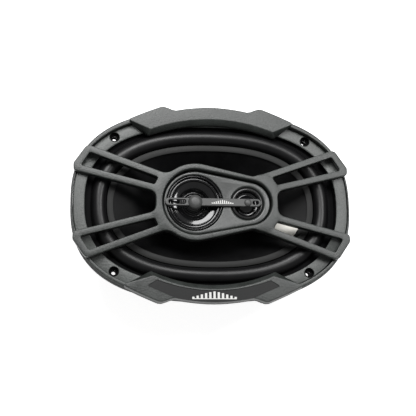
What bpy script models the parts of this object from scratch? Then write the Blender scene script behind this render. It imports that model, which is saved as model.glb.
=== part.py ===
"""Coaxial car loudspeaker, 6x9 inch oval, three drivers.

The magnet's back face stands on z = 0 and the speaker fires along +Z.
The long axis of the oval is X. Sizes below are millimetres; meshes are metres.
"""
import math

import bmesh
import bpy
from mathutils import Vector
from mathutils.geometry import delaunay_2d_cdt

MM = 0.001
OVAL_STEPS = 40
ROUND_STEPS = 28
SMALL_STEPS = 20
TINY_STEPS = 12

# Oval family: a smaller oval for each distance in from the outline
OUT_A = 118.4
OUT_B = 82.0
OUT_N = 2.55
IN_B_RATE = 0.96
IN_N_RATE = 0.006

# Motor
YOKE_R = 42.0
YOKE_T = 5.0
POLE_R = 14.0
POLE_TOP = 26.0
POST_BORE_R = 4.4
NUT_POCKET_R = 8.4
NUT_POCKET_D = 3.4
MAGNET_R = 45.0
MAGNET_BORE_R = 23.0
MAGNET_Z = (5.3, 20.3)
TOP_PLATE_BORE_R = 16.8
TOP_PLATE_Z = (20.6, 25.6)

# Basket
SHEET_T = 1.5
FLANGE_Z = 76.85
BASKET_WALL = (
    (96.6, 61.4, 2.41, 69.4),
    (90.0, 59.8, 2.36, 62.4),
    (74.0, 56.2, 2.22, 53.2),
    (56.0, 51.6, 2.05, 44.4),
)
BASKET_CUP = ((49.2, 39.5), (44.4, 39.5), (42.2, 37.0), (41.4, 27.6), (39.8, 26.7), (20.0, 26.7))
SCREW_X = 82.1
SCREW_Y = 57.4
SCREW_HOLE_R = 2.1
SCREW_HEAD_R = 4.1
GASKET_Z = (71.0, 75.8)
GASKET_HOLE_R = 1.7

# Moving parts of the woofer
FORMER_R = (14.7, 15.2)
FORMER_Z = (17.0, 47.0)
WINDING_R = (15.5, 16.2)
WINDING_Z = (17.6, 29.6)
CONE_T = 0.8
SURROUND_T = 0.8
SPIDER_T = 0.6
ROLL_OUT = 17.4
ROLL_IN = 29.4
ROLL_Z = 79.4
ROLL_H = 5.6
CONE_BODY = (
    (24.0, 21.6, 2.05, 51.6),
    (40.0, 30.2, 2.16, 60.0),
    (58.0, 38.0, 2.26, 68.2),
    (74.0, 44.4, 2.32, 75.0),
    (84.0, 48.7, 2.34, 79.1),
)

# Front mouldings
FRAME_A = 116.2
FRAME_B = 77.6
FRAME_N = 2.5
FRAME_INNER = 14.7
FRAME_INNER_A = 106.5
TAB_Z = 84.0
BAND_Z = 88.0
SKIRT_TOP = 89.0
PLATE_TOP = 92.0
RIB_TOP = 95.7
RING_TOP = 96.4
SLOT_OUTER_HIGH = (102.9, 41.4)
SLOT_OUTER_LOW = (110.3, 29.9)
SLOT_LEFT = ((46.2, 20.4), (49.4, 14.2))
SLOT_RIGHT = ((50.0, 21.9), (54.4, 15.6))
RIB_W = 5.4
UPPER_SHARE = 0.945
UPPER_LIFT = 1.7

# Centre ring and pod: big circle and small circle on the X axis
RING_BIG_X = -14.8
RING_BIG_R = 32.6
RING_SMALL_X = 30.3
RING_SMALL_R = 22.5
RING_HOLE_BIG_R = 27.9
RING_HOLE_SMALL_R = 19.2
POD_BIG_R = 27.1
POD_SMALL_R = 18.4
POD_TOP = 92.0
POD_BOTTOM = 75.7
POD_WALL = 2.0
MID_X = -15.4
MID_HOLE_R = 23.8
TWEETER_X = 29.0
TWEETER_HOLE_R = 13.8
POST_R = 4.0


def clear_scene():
    for obj in list(bpy.data.objects):
        bpy.data.objects.remove(obj, do_unlink=True)
    for mesh in list(bpy.data.meshes):
        bpy.data.meshes.remove(mesh)
    for mat in list(bpy.data.materials):
        bpy.data.materials.remove(mat)


def make_material(name, colour, metallic, rough):
    mat = bpy.data.materials.new(name)
    mat.use_nodes = True
    shader = mat.node_tree.nodes["Principled BSDF"]
    shader.inputs["Base Color"].default_value = (*colour, 1.0)
    shader.inputs["Metallic"].default_value = metallic
    shader.inputs["Roughness"].default_value = rough
    mat.diffuse_color = (*colour, 1.0)
    return mat


def finish_mesh(obj, sharp):
    mesh = obj.data
    bm = bmesh.new()
    bm.from_mesh(mesh)
    bmesh.ops.remove_doubles(bm, verts=bm.verts, dist=1e-6)
    bmesh.ops.recalc_face_normals(bm, faces=bm.faces)
    bm.to_mesh(mesh)
    bm.free()
    for face in mesh.polygons:
        face.use_smooth = True
    mesh.set_sharp_from_angle(angle=math.radians(sharp))


def add_object(name, verts, faces, look, sharp=35.0):
    mesh = bpy.data.meshes.new(name)
    mesh.from_pydata([(x * MM, y * MM, z * MM) for x, y, z in verts], [], faces)
    obj = bpy.data.objects.new(name, mesh)
    bpy.context.scene.collection.objects.link(obj)
    obj.data.materials.append(make_material(name, *look))
    finish_mesh(obj, sharp)
    return obj


def combine(target, other, operation, sharp=35.0):
    """Boolean the other solid into the target and drop the other."""
    other.hide_render = True
    other.display_type = "WIRE"
    mod = target.modifiers.new("combine", "BOOLEAN")
    mod.operation = operation
    mod.solver = "EXACT"
    mod.object = other
    bpy.context.view_layer.update()
    graph = bpy.context.evaluated_depsgraph_get()
    mesh = bpy.data.meshes.new_from_object(target.evaluated_get(graph))
    target.modifiers.clear()
    old = target.data
    mesh.name = target.name
    target.data = mesh
    bpy.data.meshes.remove(old)
    bpy.data.objects.remove(other, do_unlink=True)
    while len(target.data.materials) > 1:
        target.data.materials.pop()
    for face in target.data.polygons:
        face.material_index = 0
    finish_mesh(target, sharp)


# ---------------------------------------------------------------- outlines
def oval_ring(a, b, n, z, steps=OVAL_STEPS):
    """Points of a superellipse, counter-clockwise from half a step past +X."""
    points = []
    for k in range(steps):
        t = 2.0 * math.pi * (k + 0.5) / steps
        c = math.cos(t)
        s = math.sin(t)
        x = a * math.copysign(abs(c) ** (2.0 / n), c)
        y = b * math.copysign(abs(s) ** (2.0 / n), s)
        points.append((x, y, z))
    return points


def inset_oval(d, z, steps=OVAL_STEPS):
    """The outline moved in by d."""
    return oval_ring(OUT_A - d, OUT_B - IN_B_RATE * d, OUT_N - IN_N_RATE * d, z, steps)


def circle_ring(r, z, steps, cx=0.0, cy=0.0):
    points = []
    for k in range(steps):
        t = 2.0 * math.pi * k / steps
        points.append((cx + r * math.cos(t), cy + r * math.sin(t), z))
    return points


def teardrop(x1, r1, x2, r2, steps1=20, steps2=10):
    """Two circles on the X axis joined by their outer tangents."""
    phi = math.acos((r1 - r2) / (x2 - x1))
    points = []
    for k in range(steps2 + 1):
        t = -phi + 2.0 * phi * k / steps2
        points.append((x2 + r2 * math.cos(t), r2 * math.sin(t)))
    for k in range(steps1 + 1):
        t = phi + (2.0 * math.pi - 2.0 * phi) * k / steps1
        points.append((x1 + r1 * math.cos(t), r1 * math.sin(t)))
    return points


def round_corners(points, radius, steps=3):
    """Counter-clockwise polygon with every corner turned into an arc."""
    result = []
    count = len(points)
    for k in range(count):
        prev = Vector(points[k - 1])
        here = Vector(points[k])
        after = Vector(points[(k + 1) % count])
        to_prev = (prev - here).normalized()
        to_next = (after - here).normalized()
        half = 0.5 * to_prev.angle(to_next)
        reach = min(radius / math.tan(half), 0.45 * (prev - here).length, 0.45 * (after - here).length)
        r = reach * math.tan(half)
        middle = here + (to_prev + to_next).normalized() * (r / math.sin(half))
        start = here + to_prev * reach - middle
        end = here + to_next * reach - middle
        turn = start.angle_signed(end)
        for j in range(steps + 1):
            ang = -turn * j / steps
            c = math.cos(ang)
            s = math.sin(ang)
            result.append((middle.x + start.x * c - start.y * s, middle.y + start.x * s + start.y * c))
    return result


def inset(points, d):
    """Move a counter-clockwise polygon inwards by d (outwards if negative)."""
    result = []
    count = len(points)
    for k in range(count):
        prev = Vector(points[k - 1])
        here = Vector(points[k])
        after = Vector(points[(k + 1) % count])
        e1 = (here - prev).normalized()
        e2 = (after - here).normalized()
        n1 = Vector((-e1.y, e1.x))
        n2 = Vector((-e2.y, e2.x))
        mid = n1 + n2
        mid = mid / max(mid.dot(n1), 0.35)
        result.append((here.x + mid.x * d, here.y + mid.y * d))
    return result


# ------------------------------------------------------------------ solids
def loft_closed(name, rings, look, sharp=35.0):
    """Ring-shaped solid: each loop joins the next, and the last joins the first."""
    count = len(rings[0])
    verts = [p for ring in rings for p in ring]
    faces = []
    for i in range(len(rings)):
        low = i * count
        high = ((i + 1) % len(rings)) * count
        for j in range(count):
            k = (j + 1) % count
            faces.append((low + j, low + k, high + k, high + j))
    return add_object(name, verts, faces, look, sharp)


def lathe(name, profile, look, steps, cx=0.0, cy=0.0, sharp=35.0):
    """Turn a closed (r, z) profile; points on the axis become single vertices."""
    verts = []
    rows = []
    for r, z in profile:
        if r < 1e-6:
            rows.append([len(verts)] * steps)
            verts.append((cx, cy, z))
        else:
            rows.append(list(range(len(verts), len(verts) + steps)))
            verts.extend(circle_ring(r, z, steps, cx, cy))
    faces = []
    for i in range(len(profile)):
        low = rows[i]
        high = rows[(i + 1) % len(profile)]
        if low[0] == low[1] and high[0] == high[1]:
            continue
        for j in range(steps):
            k = (j + 1) % steps
            face = []
            for index in (low[j], low[k], high[k], high[j]):
                if index not in face:
                    face.append(index)
            faces.append(tuple(face))
    return add_object(name, verts, faces, look, sharp)


def tube(name, r_in, r_out, z_low, z_high, look, steps, cx=0.0, cy=0.0):
    profile = [(r_in, z_low), (r_out, z_low), (r_out, z_high), (r_in, z_high)]
    return lathe(name, profile, look, steps, cx, cy)


def rod(name, r, z_low, z_high, look, steps, cx=0.0, cy=0.0):
    profile = [(0.0, z_low), (r, z_low), (r, z_high), (0.0, z_high)]
    return lathe(name, profile, look, steps, cx, cy)


def thick_profile(points, t):
    """Give an open (r, z) line a thickness t, square to the line."""
    upper = []
    lower = []
    last = len(points) - 1
    for k, (r, z) in enumerate(points):
        r0, z0 = points[max(k - 1, 0)]
        r1, z1 = points[min(k + 1, last)]
        along = math.hypot(r1 - r0, z1 - z0)
        nr = -(z1 - z0) / along
        nz = (r1 - r0) / along
        if r < 1e-6:
            nr = 0.0
            nz = 1.0
        upper.append((r + nr * t / 2.0, z + nz * t / 2.0))
        lower.append((r - nr * t / 2.0, z - nz * t / 2.0))
    return upper + lower[::-1]


def sheet(name, rings, t, look, skip=(), sharp=35.0, closed=True):
    """Thin skin through a grid of rings, with the listed grid cells left open."""
    rows = len(rings)
    count = len(rings[0])
    cells = count if closed else count - 1
    skins = ([], [])
    for i in range(rows):
        for j in range(count):
            here = Vector(rings[i][j])
            up = Vector(rings[min(i + 1, rows - 1)][j]) - Vector(rings[max(i - 1, 0)][j])
            if closed:
                side = Vector(rings[i][(j + 1) % count]) - Vector(rings[i][j - 1])
            else:
                side = Vector(rings[i][min(j + 1, count - 1)]) - Vector(rings[i][max(j - 1, 0)])
            normal = side.cross(up).normalized()
            skins[0].append(tuple(here + normal * (t / 2.0)))
            skins[1].append(tuple(here - normal * (t / 2.0)))
    total = rows * count
    verts = skins[0] + skins[1]
    faces = []
    edges = {}
    for i in range(rows - 1):
        for j in range(cells):
            if (i, j) in skip:
                continue
            k = (j + 1) % count
            quad = (i * count + j, i * count + k, (i + 1) * count + k, (i + 1) * count + j)
            faces.append(quad)
            faces.append(tuple(v + total for v in reversed(quad)))
            for m in range(4):
                a = quad[m]
                b = quad[(m + 1) % 4]
                key = (min(a, b), max(a, b))
                edges.setdefault(key, []).append((a, b))
    for pairs in edges.values():
        if len(pairs) == 1:
            a, b = pairs[0]
            faces.append((b, a, a + total, b + total))
    return add_object(name, verts, faces, look, sharp)


def is_inside(point, loop):
    """Whether a point lies inside a closed loop, by counting crossings."""
    inside = False
    for k, here in enumerate(loop):
        before = loop[k - 1]
        if (here[1] > point.y) != (before[1] > point.y):
            share = (point.y - here[1]) / (before[1] - here[1])
            if point.x < here[0] + share * (before[0] - here[0]):
                inside = not inside
    return inside


def cap_faces(loops, start):
    """Triangles filling the first loop and leaving the other loops open."""
    coords = []
    edges = []
    index = []
    for loop, base in zip(loops, start):
        first = len(coords)
        for k, point in enumerate(loop):
            coords.append(Vector((point[0], point[1])))
            edges.append((first + k, first + (k + 1) % len(loop)))
            index.append(base + k)
    points, _, faces, orig, _, _ = delaunay_2d_cdt(coords, edges, [], 1, 1e-6)
    result = []
    for face in faces:
        centre = sum((points[v] for v in face), Vector((0.0, 0.0))) / len(face)
        if any(is_inside(centre, loop) for loop in loops[1:]):
            continue
        result.append(tuple(index[orig[v][0]] for v in face))
    return result


def prism(name, stacks, look, sharp=35.0):
    """Solid between matching loops; the first stack is the outside, the rest are holes."""
    verts = []
    faces = []
    starts = []
    for stack in stacks:
        count = len(stack[0])
        level_start = []
        for loop in stack:
            level_start.append(len(verts))
            verts.extend(loop)
        starts.append(level_start)
        for i in range(len(stack) - 1):
            for j in range(count):
                k = (j + 1) % count
                low = level_start[i]
                high = level_start[i + 1]
                faces.append((low + j, low + k, high + k, high + j))
    faces.extend(cap_faces([stack[0] for stack in stacks], [s[0] for s in starts]))
    faces.extend(cap_faces([stack[-1] for stack in stacks], [s[-1] for s in starts]))
    return add_object(name, verts, faces, look, sharp)


def edge_stack(points, low, high, chamfer):
    """Loops for a prism side with a chamfered top; low and high are numbers or functions."""
    low_at = low if callable(low) else (lambda x, y: low)
    high_at = high if callable(high) else (lambda x, y: high)
    bottom = [(x, y, low_at(x, y)) for x, y in points]
    waist = [(x, y, high_at(x, y) - abs(chamfer)) for x, y in points]
    crown = [(x, y, high_at(x, y)) for x, y in inset(points, chamfer)]
    return [bottom, waist, crown]


def box(name, low, high, look):
    x0, y0, z0 = low
    x1, y1, z1 = high
    verts = [(x, y, z) for z in (z0, z1) for y in (y0, y1) for x in (x0, x1)]
    faces = [(0, 2, 3, 1), (4, 5, 7, 6), (0, 1, 5, 4), (2, 6, 7, 3), (0, 4, 6, 2), (1, 3, 7, 5)]
    return add_object(name, verts, faces, look)


def place_on(obj, origin, across, along):
    """Move an object's mesh so that its x, y, z lie along across, along and their normal."""
    across = across.normalized()
    normal = across.cross(along).normalized()
    along = normal.cross(across)
    for vert in obj.data.vertices:
        local = vert.co
        vert.co = origin * MM + across * local.x + along * local.y + normal * local.z
    finish_mesh(obj, 35.0)


def cable(name, points, r, look, sides=6):
    """Round lead swept through the points."""
    rings = []
    last = len(points) - 1
    path = [Vector(p) for p in points]
    for k, here in enumerate(path):
        ahead = (path[min(k + 1, last)] - path[max(k - 1, 0)]).normalized()
        side = ahead.cross(Vector((1.0, 0.0, 0.0))).normalized()
        up = side.cross(ahead)
        ring = []
        for j in range(sides):
            t = 2.0 * math.pi * j / sides
            ring.append(tuple(here + side * (r * math.cos(t)) + up * (r * math.sin(t))))
        rings.append(ring)
    verts = [p for ring in rings for p in ring]
    faces = []
    for i in range(last):
        for j in range(sides):
            k = (j + 1) % sides
            faces.append((i * sides + j, i * sides + k, (i + 1) * sides + k, (i + 1) * sides + j))
    faces.append(tuple(range(sides)))
    faces.append(tuple(last * sides + j for j in range(sides)))
    return add_object(name, verts, faces, look, sharp=60.0)


# --------------------------------------------------------------- materials
BLACK_PLASTIC = ((0.045, 0.047, 0.048), 0.0, 0.55)
SATIN_PLASTIC = ((0.075, 0.078, 0.08), 0.0, 0.45)
GLOSS_BLACK = ((0.01, 0.01, 0.011), 0.0, 0.12)
BLACK_PAINT = ((0.02, 0.02, 0.021), 0.3, 0.45)
CONE_BLACK = ((0.016, 0.016, 0.017), 0.0, 0.6)
RUBBER = ((0.02, 0.02, 0.021), 0.0, 0.5)
FOAM = ((0.015, 0.015, 0.016), 0.0, 0.9)
STEEL = ((0.5, 0.5, 0.51), 1.0, 0.35)
FERRITE = ((0.06, 0.06, 0.062), 0.0, 0.7)
KAPTON = ((0.35, 0.2, 0.07), 0.0, 0.4)
COPPER = ((0.6, 0.3, 0.15), 1.0, 0.35)
CLOTH = ((0.5, 0.36, 0.16), 0.0, 0.9)
FIBRE = ((0.16, 0.1, 0.06), 0.0, 0.7)
BRASS = ((0.6, 0.45, 0.2), 1.0, 0.35)
PAPER = ((0.75, 0.74, 0.68), 0.0, 0.8)
WHITE_PRINT = ((0.8, 0.8, 0.8), 0.0, 0.5)
CAP_SLEEVE = ((0.02, 0.05, 0.15), 0.0, 0.4)


# ------------------------------------------------------------------- motor
def build_motor():
    yoke = [
        (POST_BORE_R, NUT_POCKET_D),
        (NUT_POCKET_R, NUT_POCKET_D),
        (NUT_POCKET_R, 0.0),
        (YOKE_R - 1.0, 0.0),
        (YOKE_R, 1.0),
        (YOKE_R, YOKE_T),
        (POLE_R, YOKE_T),
        (POLE_R, POLE_TOP - 0.8),
        (POLE_R - 0.8, POLE_TOP),
        (POST_BORE_R, POLE_TOP),
    ]
    lathe("yoke_and_pole", yoke, STEEL, ROUND_STEPS)
    magnet = [
        (MAGNET_BORE_R, MAGNET_Z[0]),
        (MAGNET_R - 1.0, MAGNET_Z[0]),
        (MAGNET_R, MAGNET_Z[0] + 1.0),
        (MAGNET_R, MAGNET_Z[1] - 1.0),
        (MAGNET_R - 1.0, MAGNET_Z[1]),
        (MAGNET_BORE_R, MAGNET_Z[1]),
    ]
    lathe("magnet_ring", magnet, FERRITE, ROUND_STEPS)
    tube("magnet_top_plate", TOP_PLATE_BORE_R, YOKE_R, *TOP_PLATE_Z, STEEL, ROUND_STEPS)


# ------------------------------------------------------------------ basket
def basket_rings():
    """Middle of the pressed sheet, from the flange edge to the hole in the base."""
    rings = [inset_oval(2.6, FLANGE_Z)]
    rings.append(inset_oval(18.6, FLANGE_Z))
    for a, b, n, z in BASKET_WALL:
        rings.append(oval_ring(a, b, n, z))
    for r, z in BASKET_CUP:
        rings.append(oval_ring(r, r, 2.0, z))
    return rings


def window_cells():
    """Eight windows in the sloping wall, each three grid cells wide with two between."""
    cells = set()
    for j in range(OVAL_STEPS):
        if (j + 2) % 5 < 3:
            for i in (2, 3, 4):
                cells.add((i, j))
    return cells


def build_basket():
    basket = sheet("basket", basket_rings(), SHEET_T, BLACK_PAINT, window_cells(), sharp=30.0)
    for sx in (-1.0, 1.0):
        for sy in (-1.0, 1.0):
            cutter = rod("cutter", SCREW_HOLE_R, 70.0, 82.0, BLACK_PAINT, TINY_STEPS, sx * SCREW_X, sy * SCREW_Y)
            combine(basket, cutter, "DIFFERENCE", 30.0)


def build_gasket():
    """Foam ring stuck under the flange, with a punched hole at each screw."""
    low, high = GASKET_Z
    rings = [inset_oval(3.0, low), inset_oval(3.0, high), inset_oval(16.5, high), inset_oval(16.5, low)]
    gasket = loft_closed("flange_gasket", rings, FOAM)
    for sx in (-1.0, 1.0):
        for sy in (-1.0, 1.0):
            cutter = rod("cutter", GASKET_HOLE_R, 69.0, 78.0, FOAM, TINY_STEPS, sx * SCREW_X, sy * SCREW_Y)
            combine(gasket, cutter, "DIFFERENCE")


# ------------------------------------------------------------ moving parts
def cone_rings():
    rings = [oval_ring(16.1, 16.1, 2.0, 44.6), oval_ring(16.1, 16.1, 2.0, 46.8)]
    for a, b, n, z in CONE_BODY:
        rings.append(oval_ring(a, b, n, z))
    rings.append(inset_oval(30.5, 79.3))
    return rings


def build_cone():
    sheet("woofer_cone", cone_rings(), CONE_T, CONE_BLACK)
    ring = [inset_oval(35.6, 80.0), inset_oval(30.4, 80.0), inset_oval(30.4, 80.6), inset_oval(35.4, 80.6)]
    loft_closed("cone_edge_ring", ring, SATIN_PLASTIC)


def cone_point(t, size):
    """Point on the cone's middle surface at the angle t, where the oval's half-length is size."""
    for low, high in zip(CONE_BODY, CONE_BODY[1:]):
        if size <= high[0]:
            break
    f = (size - low[0]) / (high[0] - low[0])
    a, b, n, z = (p + (q - p) * f for p, q in zip(low, high))
    c = math.cos(t)
    s = math.sin(t)
    x = a * math.copysign(abs(c) ** (2.0 / n), c)
    y = b * math.copysign(abs(s) ** (2.0 / n), s)
    return (x, y, z)


def build_cone_label():
    rings = []
    for size in (60.0, 66.0, 74.0, 79.0):
        row = []
        for j in range(5):
            x, y, z = cone_point(math.radians(-30.0 + 15.0 * j / 4.0), size)
            row.append((x, y, z + 0.95))
        rings.append(row)
    sheet("cone_label", rings, 0.3, PAPER, closed=False)


def build_surround():
    """Half roll between the flange and the cone edge, with a flat land on each side."""
    rings = [inset_oval(10.0, 78.5), inset_oval(ROLL_OUT - 0.8, 78.5)]
    half = 0.5 * (ROLL_IN - ROLL_OUT)
    middle = 0.5 * (ROLL_IN + ROLL_OUT)
    for k in range(5):
        t = math.pi * k / 4.0
        rings.append(inset_oval(middle - half * math.cos(t), ROLL_Z + ROLL_H * math.sin(t)))
    rings.append(inset_oval(ROLL_IN + 0.3, 78.2))
    rings.append(inset_oval(33.8, 77.9))
    sheet("surround", rings, SURROUND_T, RUBBER, sharp=50.0)


def build_spider():
    """Corrugated cloth disc from the former to the basket shelf."""
    rings = [circle_ring(48.2, 41.0, SMALL_STEPS), circle_ring(44.6, 41.0, SMALL_STEPS)]
    waves = 8
    for k in range(1, waves):
        r = 44.6 - (44.6 - 18.4) * k / waves
        lift = 1.3 if k % 2 else -1.1
        rings.append(circle_ring(r, 41.4 + lift, SMALL_STEPS))
    rings.append(circle_ring(18.4, 41.4, SMALL_STEPS))
    rings.append(circle_ring(16.0, 41.4, SMALL_STEPS))
    sheet("spider", rings, SPIDER_T, CLOTH, sharp=60.0)


def build_voice_coil():
    tube("voice_coil_former", *FORMER_R, *FORMER_Z, KAPTON, ROUND_STEPS)
    tube("voice_coil_winding", *WINDING_R, *WINDING_Z, COPPER, ROUND_STEPS)


# --------------------------------------------------------- front mouldings
def band_height(k):
    """Top of the front frame: low at the screw tabs, high at the two ends."""
    t = 2.0 * math.pi * (k + 0.5) / OVAL_STEPS
    y = FRAME_B * abs(math.sin(t)) ** (2.0 / FRAME_N)
    share = min(max((y - 28.0) / 15.0, 0.0), 1.0)
    return BAND_Z + (TAB_Z - BAND_Z) * share


def raised(ring, drop):
    return [(x, y, band_height(k) - drop) for k, (x, y, _) in enumerate(ring)]


def frame_inner(widen):
    """Inner edge of the front frame, opened out by widen."""
    d = FRAME_INNER - widen
    return oval_ring(FRAME_INNER_A + widen, OUT_B - IN_B_RATE * d, OUT_N - IN_N_RATE * d, 79.3)


def build_front_frame():
    outer = oval_ring(FRAME_A, FRAME_B, FRAME_N, 78.0)
    rings = [
        frame_inner(0.0),
        raised(frame_inner(0.0), 1.2),
        raised(frame_inner(1.0), 0.0),
        raised(outer, 0.0),
        outer,
        inset_oval(9.2, 78.0),
        inset_oval(9.2, 79.3),
    ]
    frame = loft_closed("front_frame", rings, SATIN_PLASTIC)
    for sx in (-1.0, 1.0):
        for sy in (-1.0, 1.0):
            profile = [(0.0, 70.0), (SCREW_HOLE_R, 70.0), (SCREW_HOLE_R, 80.0),
                       (SCREW_HEAD_R, 80.0), (SCREW_HEAD_R, 90.0), (0.0, 90.0)]
            cutter = lathe("cutter", profile, SATIN_PLASTIC, TINY_STEPS, sx * SCREW_X, sy * SCREW_Y)
            combine(frame, cutter, "DIFFERENCE")


def rib_top(x, y):
    return RIB_TOP - 2.2 * min(max((abs(x) - 50.0) / 62.0, 0.0), 1.0)


def rib_bottom(x, y):
    return 87.2 + 1.1 * min(max((abs(x) - 55.0) / 35.0, 0.0), 1.0)


def arc_between(x0, y0, y_mid, steps):
    """Points from (-x0, y0) to (x0, y0) bulging to y_mid."""
    sag = y_mid - y0
    radius = (x0 * x0 + sag * sag) / (2.0 * sag)
    points = []
    for k in range(steps + 1):
        x = -x0 + 2.0 * x0 * k / steps
        points.append((x, y_mid - radius + math.sqrt(radius * radius - x * x)))
    return points


def plate_outer(drop, centre_drop, upper):
    """Outer edge of a plate from right to left, pulled in by drop; the upper plate is shorter."""
    shoulder = [(76.3, 70.2), (69.5, 73.6), (62.0, 77.2), (54.0, 80.7), (47.6, 83.4), (45.4, 84.0),
                (43.2, 84.0), (40.6, 83.2), (37.0, 82.0), (32.8, 81.0)]
    middle = [(22.0, 82.9), (11.0, 84.0), (0.0, 84.4)]
    if upper:
        shoulder = [(x * UPPER_SHARE, y + UPPER_LIFT * max((x - 46.0) / 30.3, 0.0)) for x, y in shoulder]
        middle = [(x * UPPER_SHARE, y) for x, y in middle]
    right = [(x - 0.45 * drop, y - drop) for x, y in shoulder]
    right += [(x, y - centre_drop) for x, y in middle]
    left = [(-x, y) for x, y in right[-2::-1]]
    return right + left


def plate_loops(sign):
    """Bottom, waist and top loops of one end plate."""
    upper = sign > 0.0
    low_inner = arc_between(54.0, 58.6, 68.6, 12) if upper else arc_between(52.0, 57.2, 68.6, 12)
    top_inner = arc_between(52.3, 62.6, 72.6, 12) if upper else arc_between(50.2, 61.4, 72.6, 12)
    low = low_inner + plate_outer(0.0, 0.0, upper)
    top = top_inner + plate_outer(1.1, 1.1, upper)
    loops = []
    for points, z in ((low, 84.3), (low, 87.6), (top, PLATE_TOP)):
        loop = [(x, sign * y, z) for x, y in points]
        loops.append(loop if sign > 0 else loop[::-1])
    return loops


def arm_points(side, up):
    """Slot corners of one double arm, counter-clockwise."""
    inner = SLOT_RIGHT if side > 0 else SLOT_LEFT
    corners = [inner[1], SLOT_OUTER_LOW, SLOT_OUTER_HIGH, inner[0]]
    corners = [(side * x, up * y) for x, y in corners]
    if side * up < 0:
        corners.reverse()
    return corners


def arm_outline(side, up):
    inner = SLOT_RIGHT if side > 0 else SLOT_LEFT
    high_in = Vector(inner[0])
    low_in = Vector(inner[1])
    high_out = Vector(SLOT_OUTER_HIGH)
    low_out = Vector(SLOT_OUTER_LOW)
    along_high = (high_out - high_in).normalized()
    along_low = (low_out - low_in).normalized()
    n_high = Vector((-along_high.y, along_high.x))
    n_low = Vector((along_low.y, -along_low.x))
    end = (high_out - low_out).normalized()
    n_end = Vector((end.y, -end.x))
    upper_outer = high_out + n_high * RIB_W + along_high * 2.4
    tip_high = high_out + n_end * 5.6 + end * 2.2
    tip_low = low_out + n_end * 6.2 - end * 1.6
    lower_outer = low_out + n_low * RIB_W + along_low * 4.6
    lower_inner = low_in + n_low * RIB_W - along_low * 8.0
    deep_low = lower_inner + Vector((-8.0, 0.5))
    deep_high = Vector((deep_low.x - 4.0, 17.5))
    upper_inner = high_in + n_high * RIB_W - along_high * 11.0
    corners = [lower_inner, lower_outer, tip_low, tip_high, upper_outer, upper_inner, deep_high, deep_low]
    corners = [(side * p.x, up * p.y) for p in corners]
    if side * up < 0:
        corners.reverse()
    return corners


def build_grille():
    skirt_inner = (OUT_A - 1.8, OUT_B - 4.0, 2.5)
    rings = [
        inset_oval(0.0, 78.0),
        inset_oval(0.0, 86.6),
        inset_oval(0.9, SKIRT_TOP),
        oval_ring(*skirt_inner, SKIRT_TOP),
        oval_ring(*skirt_inner, 78.0),
    ]
    grille = loft_closed("grille", rings, BLACK_PLASTIC)
    for sign in (1.0, -1.0):
        plate = prism("plate", [plate_loops(sign)], BLACK_PLASTIC)
        combine(grille, plate, "UNION")
    drop = teardrop(RING_BIG_X, RING_BIG_R, RING_SMALL_X, RING_SMALL_R)
    hub = prism("hub", [edge_stack(drop, 86.4, RING_TOP, 1.4)], BLACK_PLASTIC)
    for side in (-1.0, 1.0):
        for up in (-1.0, 1.0):
            outline = round_corners(arm_outline(side, up), 2.6, 2)
            slot = round_corners(arm_points(side, up), 1.0, 1)
            stacks = [edge_stack(outline, rib_bottom, rib_top, 0.7), edge_stack(slot, rib_bottom, rib_top, -0.5)]
            arm = prism("arm", stacks, BLACK_PLASTIC)
            combine(hub, arm, "UNION")
    for x0, x1 in ((-47.6, -34.0), (40.0, 54.2)):
        web = [(x0, -13.0), (x1, -13.0), (x1, 13.0), (x0, 13.0)]
        part = prism("web", [edge_stack(web, 87.0, 95.4, 0.6)], BLACK_PLASTIC)
        combine(hub, part, "UNION")
    hole = teardrop(RING_BIG_X, RING_HOLE_BIG_R, RING_SMALL_X, RING_HOLE_SMALL_R)
    flare = inset(hole, -1.3)
    loops = [[(x, y, 80.0) for x, y in hole], [(x, y, RING_TOP - 1.3) for x, y in hole],
             [(x, y, RING_TOP) for x, y in flare], [(x, y, RING_TOP + 2.0) for x, y in flare]]
    cutter = prism("cutter", [loops], BLACK_PLASTIC)
    combine(hub, cutter, "DIFFERENCE")
    combine(grille, hub, "UNION")
    inlay = arc_between(47.3, 64.9, 73.5, 12) + [(55.4, 70.0), (33.4, 79.6), (20.0, 81.4), (0.0, 82.6)]
    inlay += [(-20.0, 81.4), (-33.4, 79.6), (-55.4, 70.0)]
    mirrored = [(x, -y) for x, y in reversed(inlay)]
    loops = [[(x, y, PLATE_TOP - 0.6) for x, y in mirrored], [(x, y, PLATE_TOP + 3.0) for x, y in mirrored]]
    cutter = prism("cutter", [loops], BLACK_PLASTIC)
    combine(grille, cutter, "DIFFERENCE")


def build_badges():
    """Rising bars on one base line, in place of any lettering."""
    heights = (2.0, 2.9, 3.9, 5.0, 5.8, 6.4, 5.8, 5.0, 3.9, 2.9, 2.0)
    pitch = 3.5
    width = 1.9
    start = -0.5 * pitch * (len(heights) - 1)
    points = [(start - width / 2.0, 0.0), (-start + width / 2.0, 0.0)]
    for k in range(len(heights) - 1, -1, -1):
        x = start + pitch * k
        points.append((x + width / 2.0, heights[k]))
        points.append((x - width / 2.0, heights[k]))
        if k > 0:
            points.append((x - width / 2.0, 0.7))
            points.append((x - pitch + width / 2.0, 0.7))
    for name, scale, y, z in (("badge_bars", 1.0, -80.9, PLATE_TOP - 0.5), ("bar_badge", 0.5, -1.5, 95.05)):
        cx = 0.0 if scale == 1.0 else 7.4
        placed = [(cx + x * scale, y + v * scale) for x, v in points]
        stack = [[(x, v, z) for x, v in placed], [(x, v, z + 0.25) for x, v in placed]]
        prism(name, [stack], WHITE_PRINT)


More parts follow.
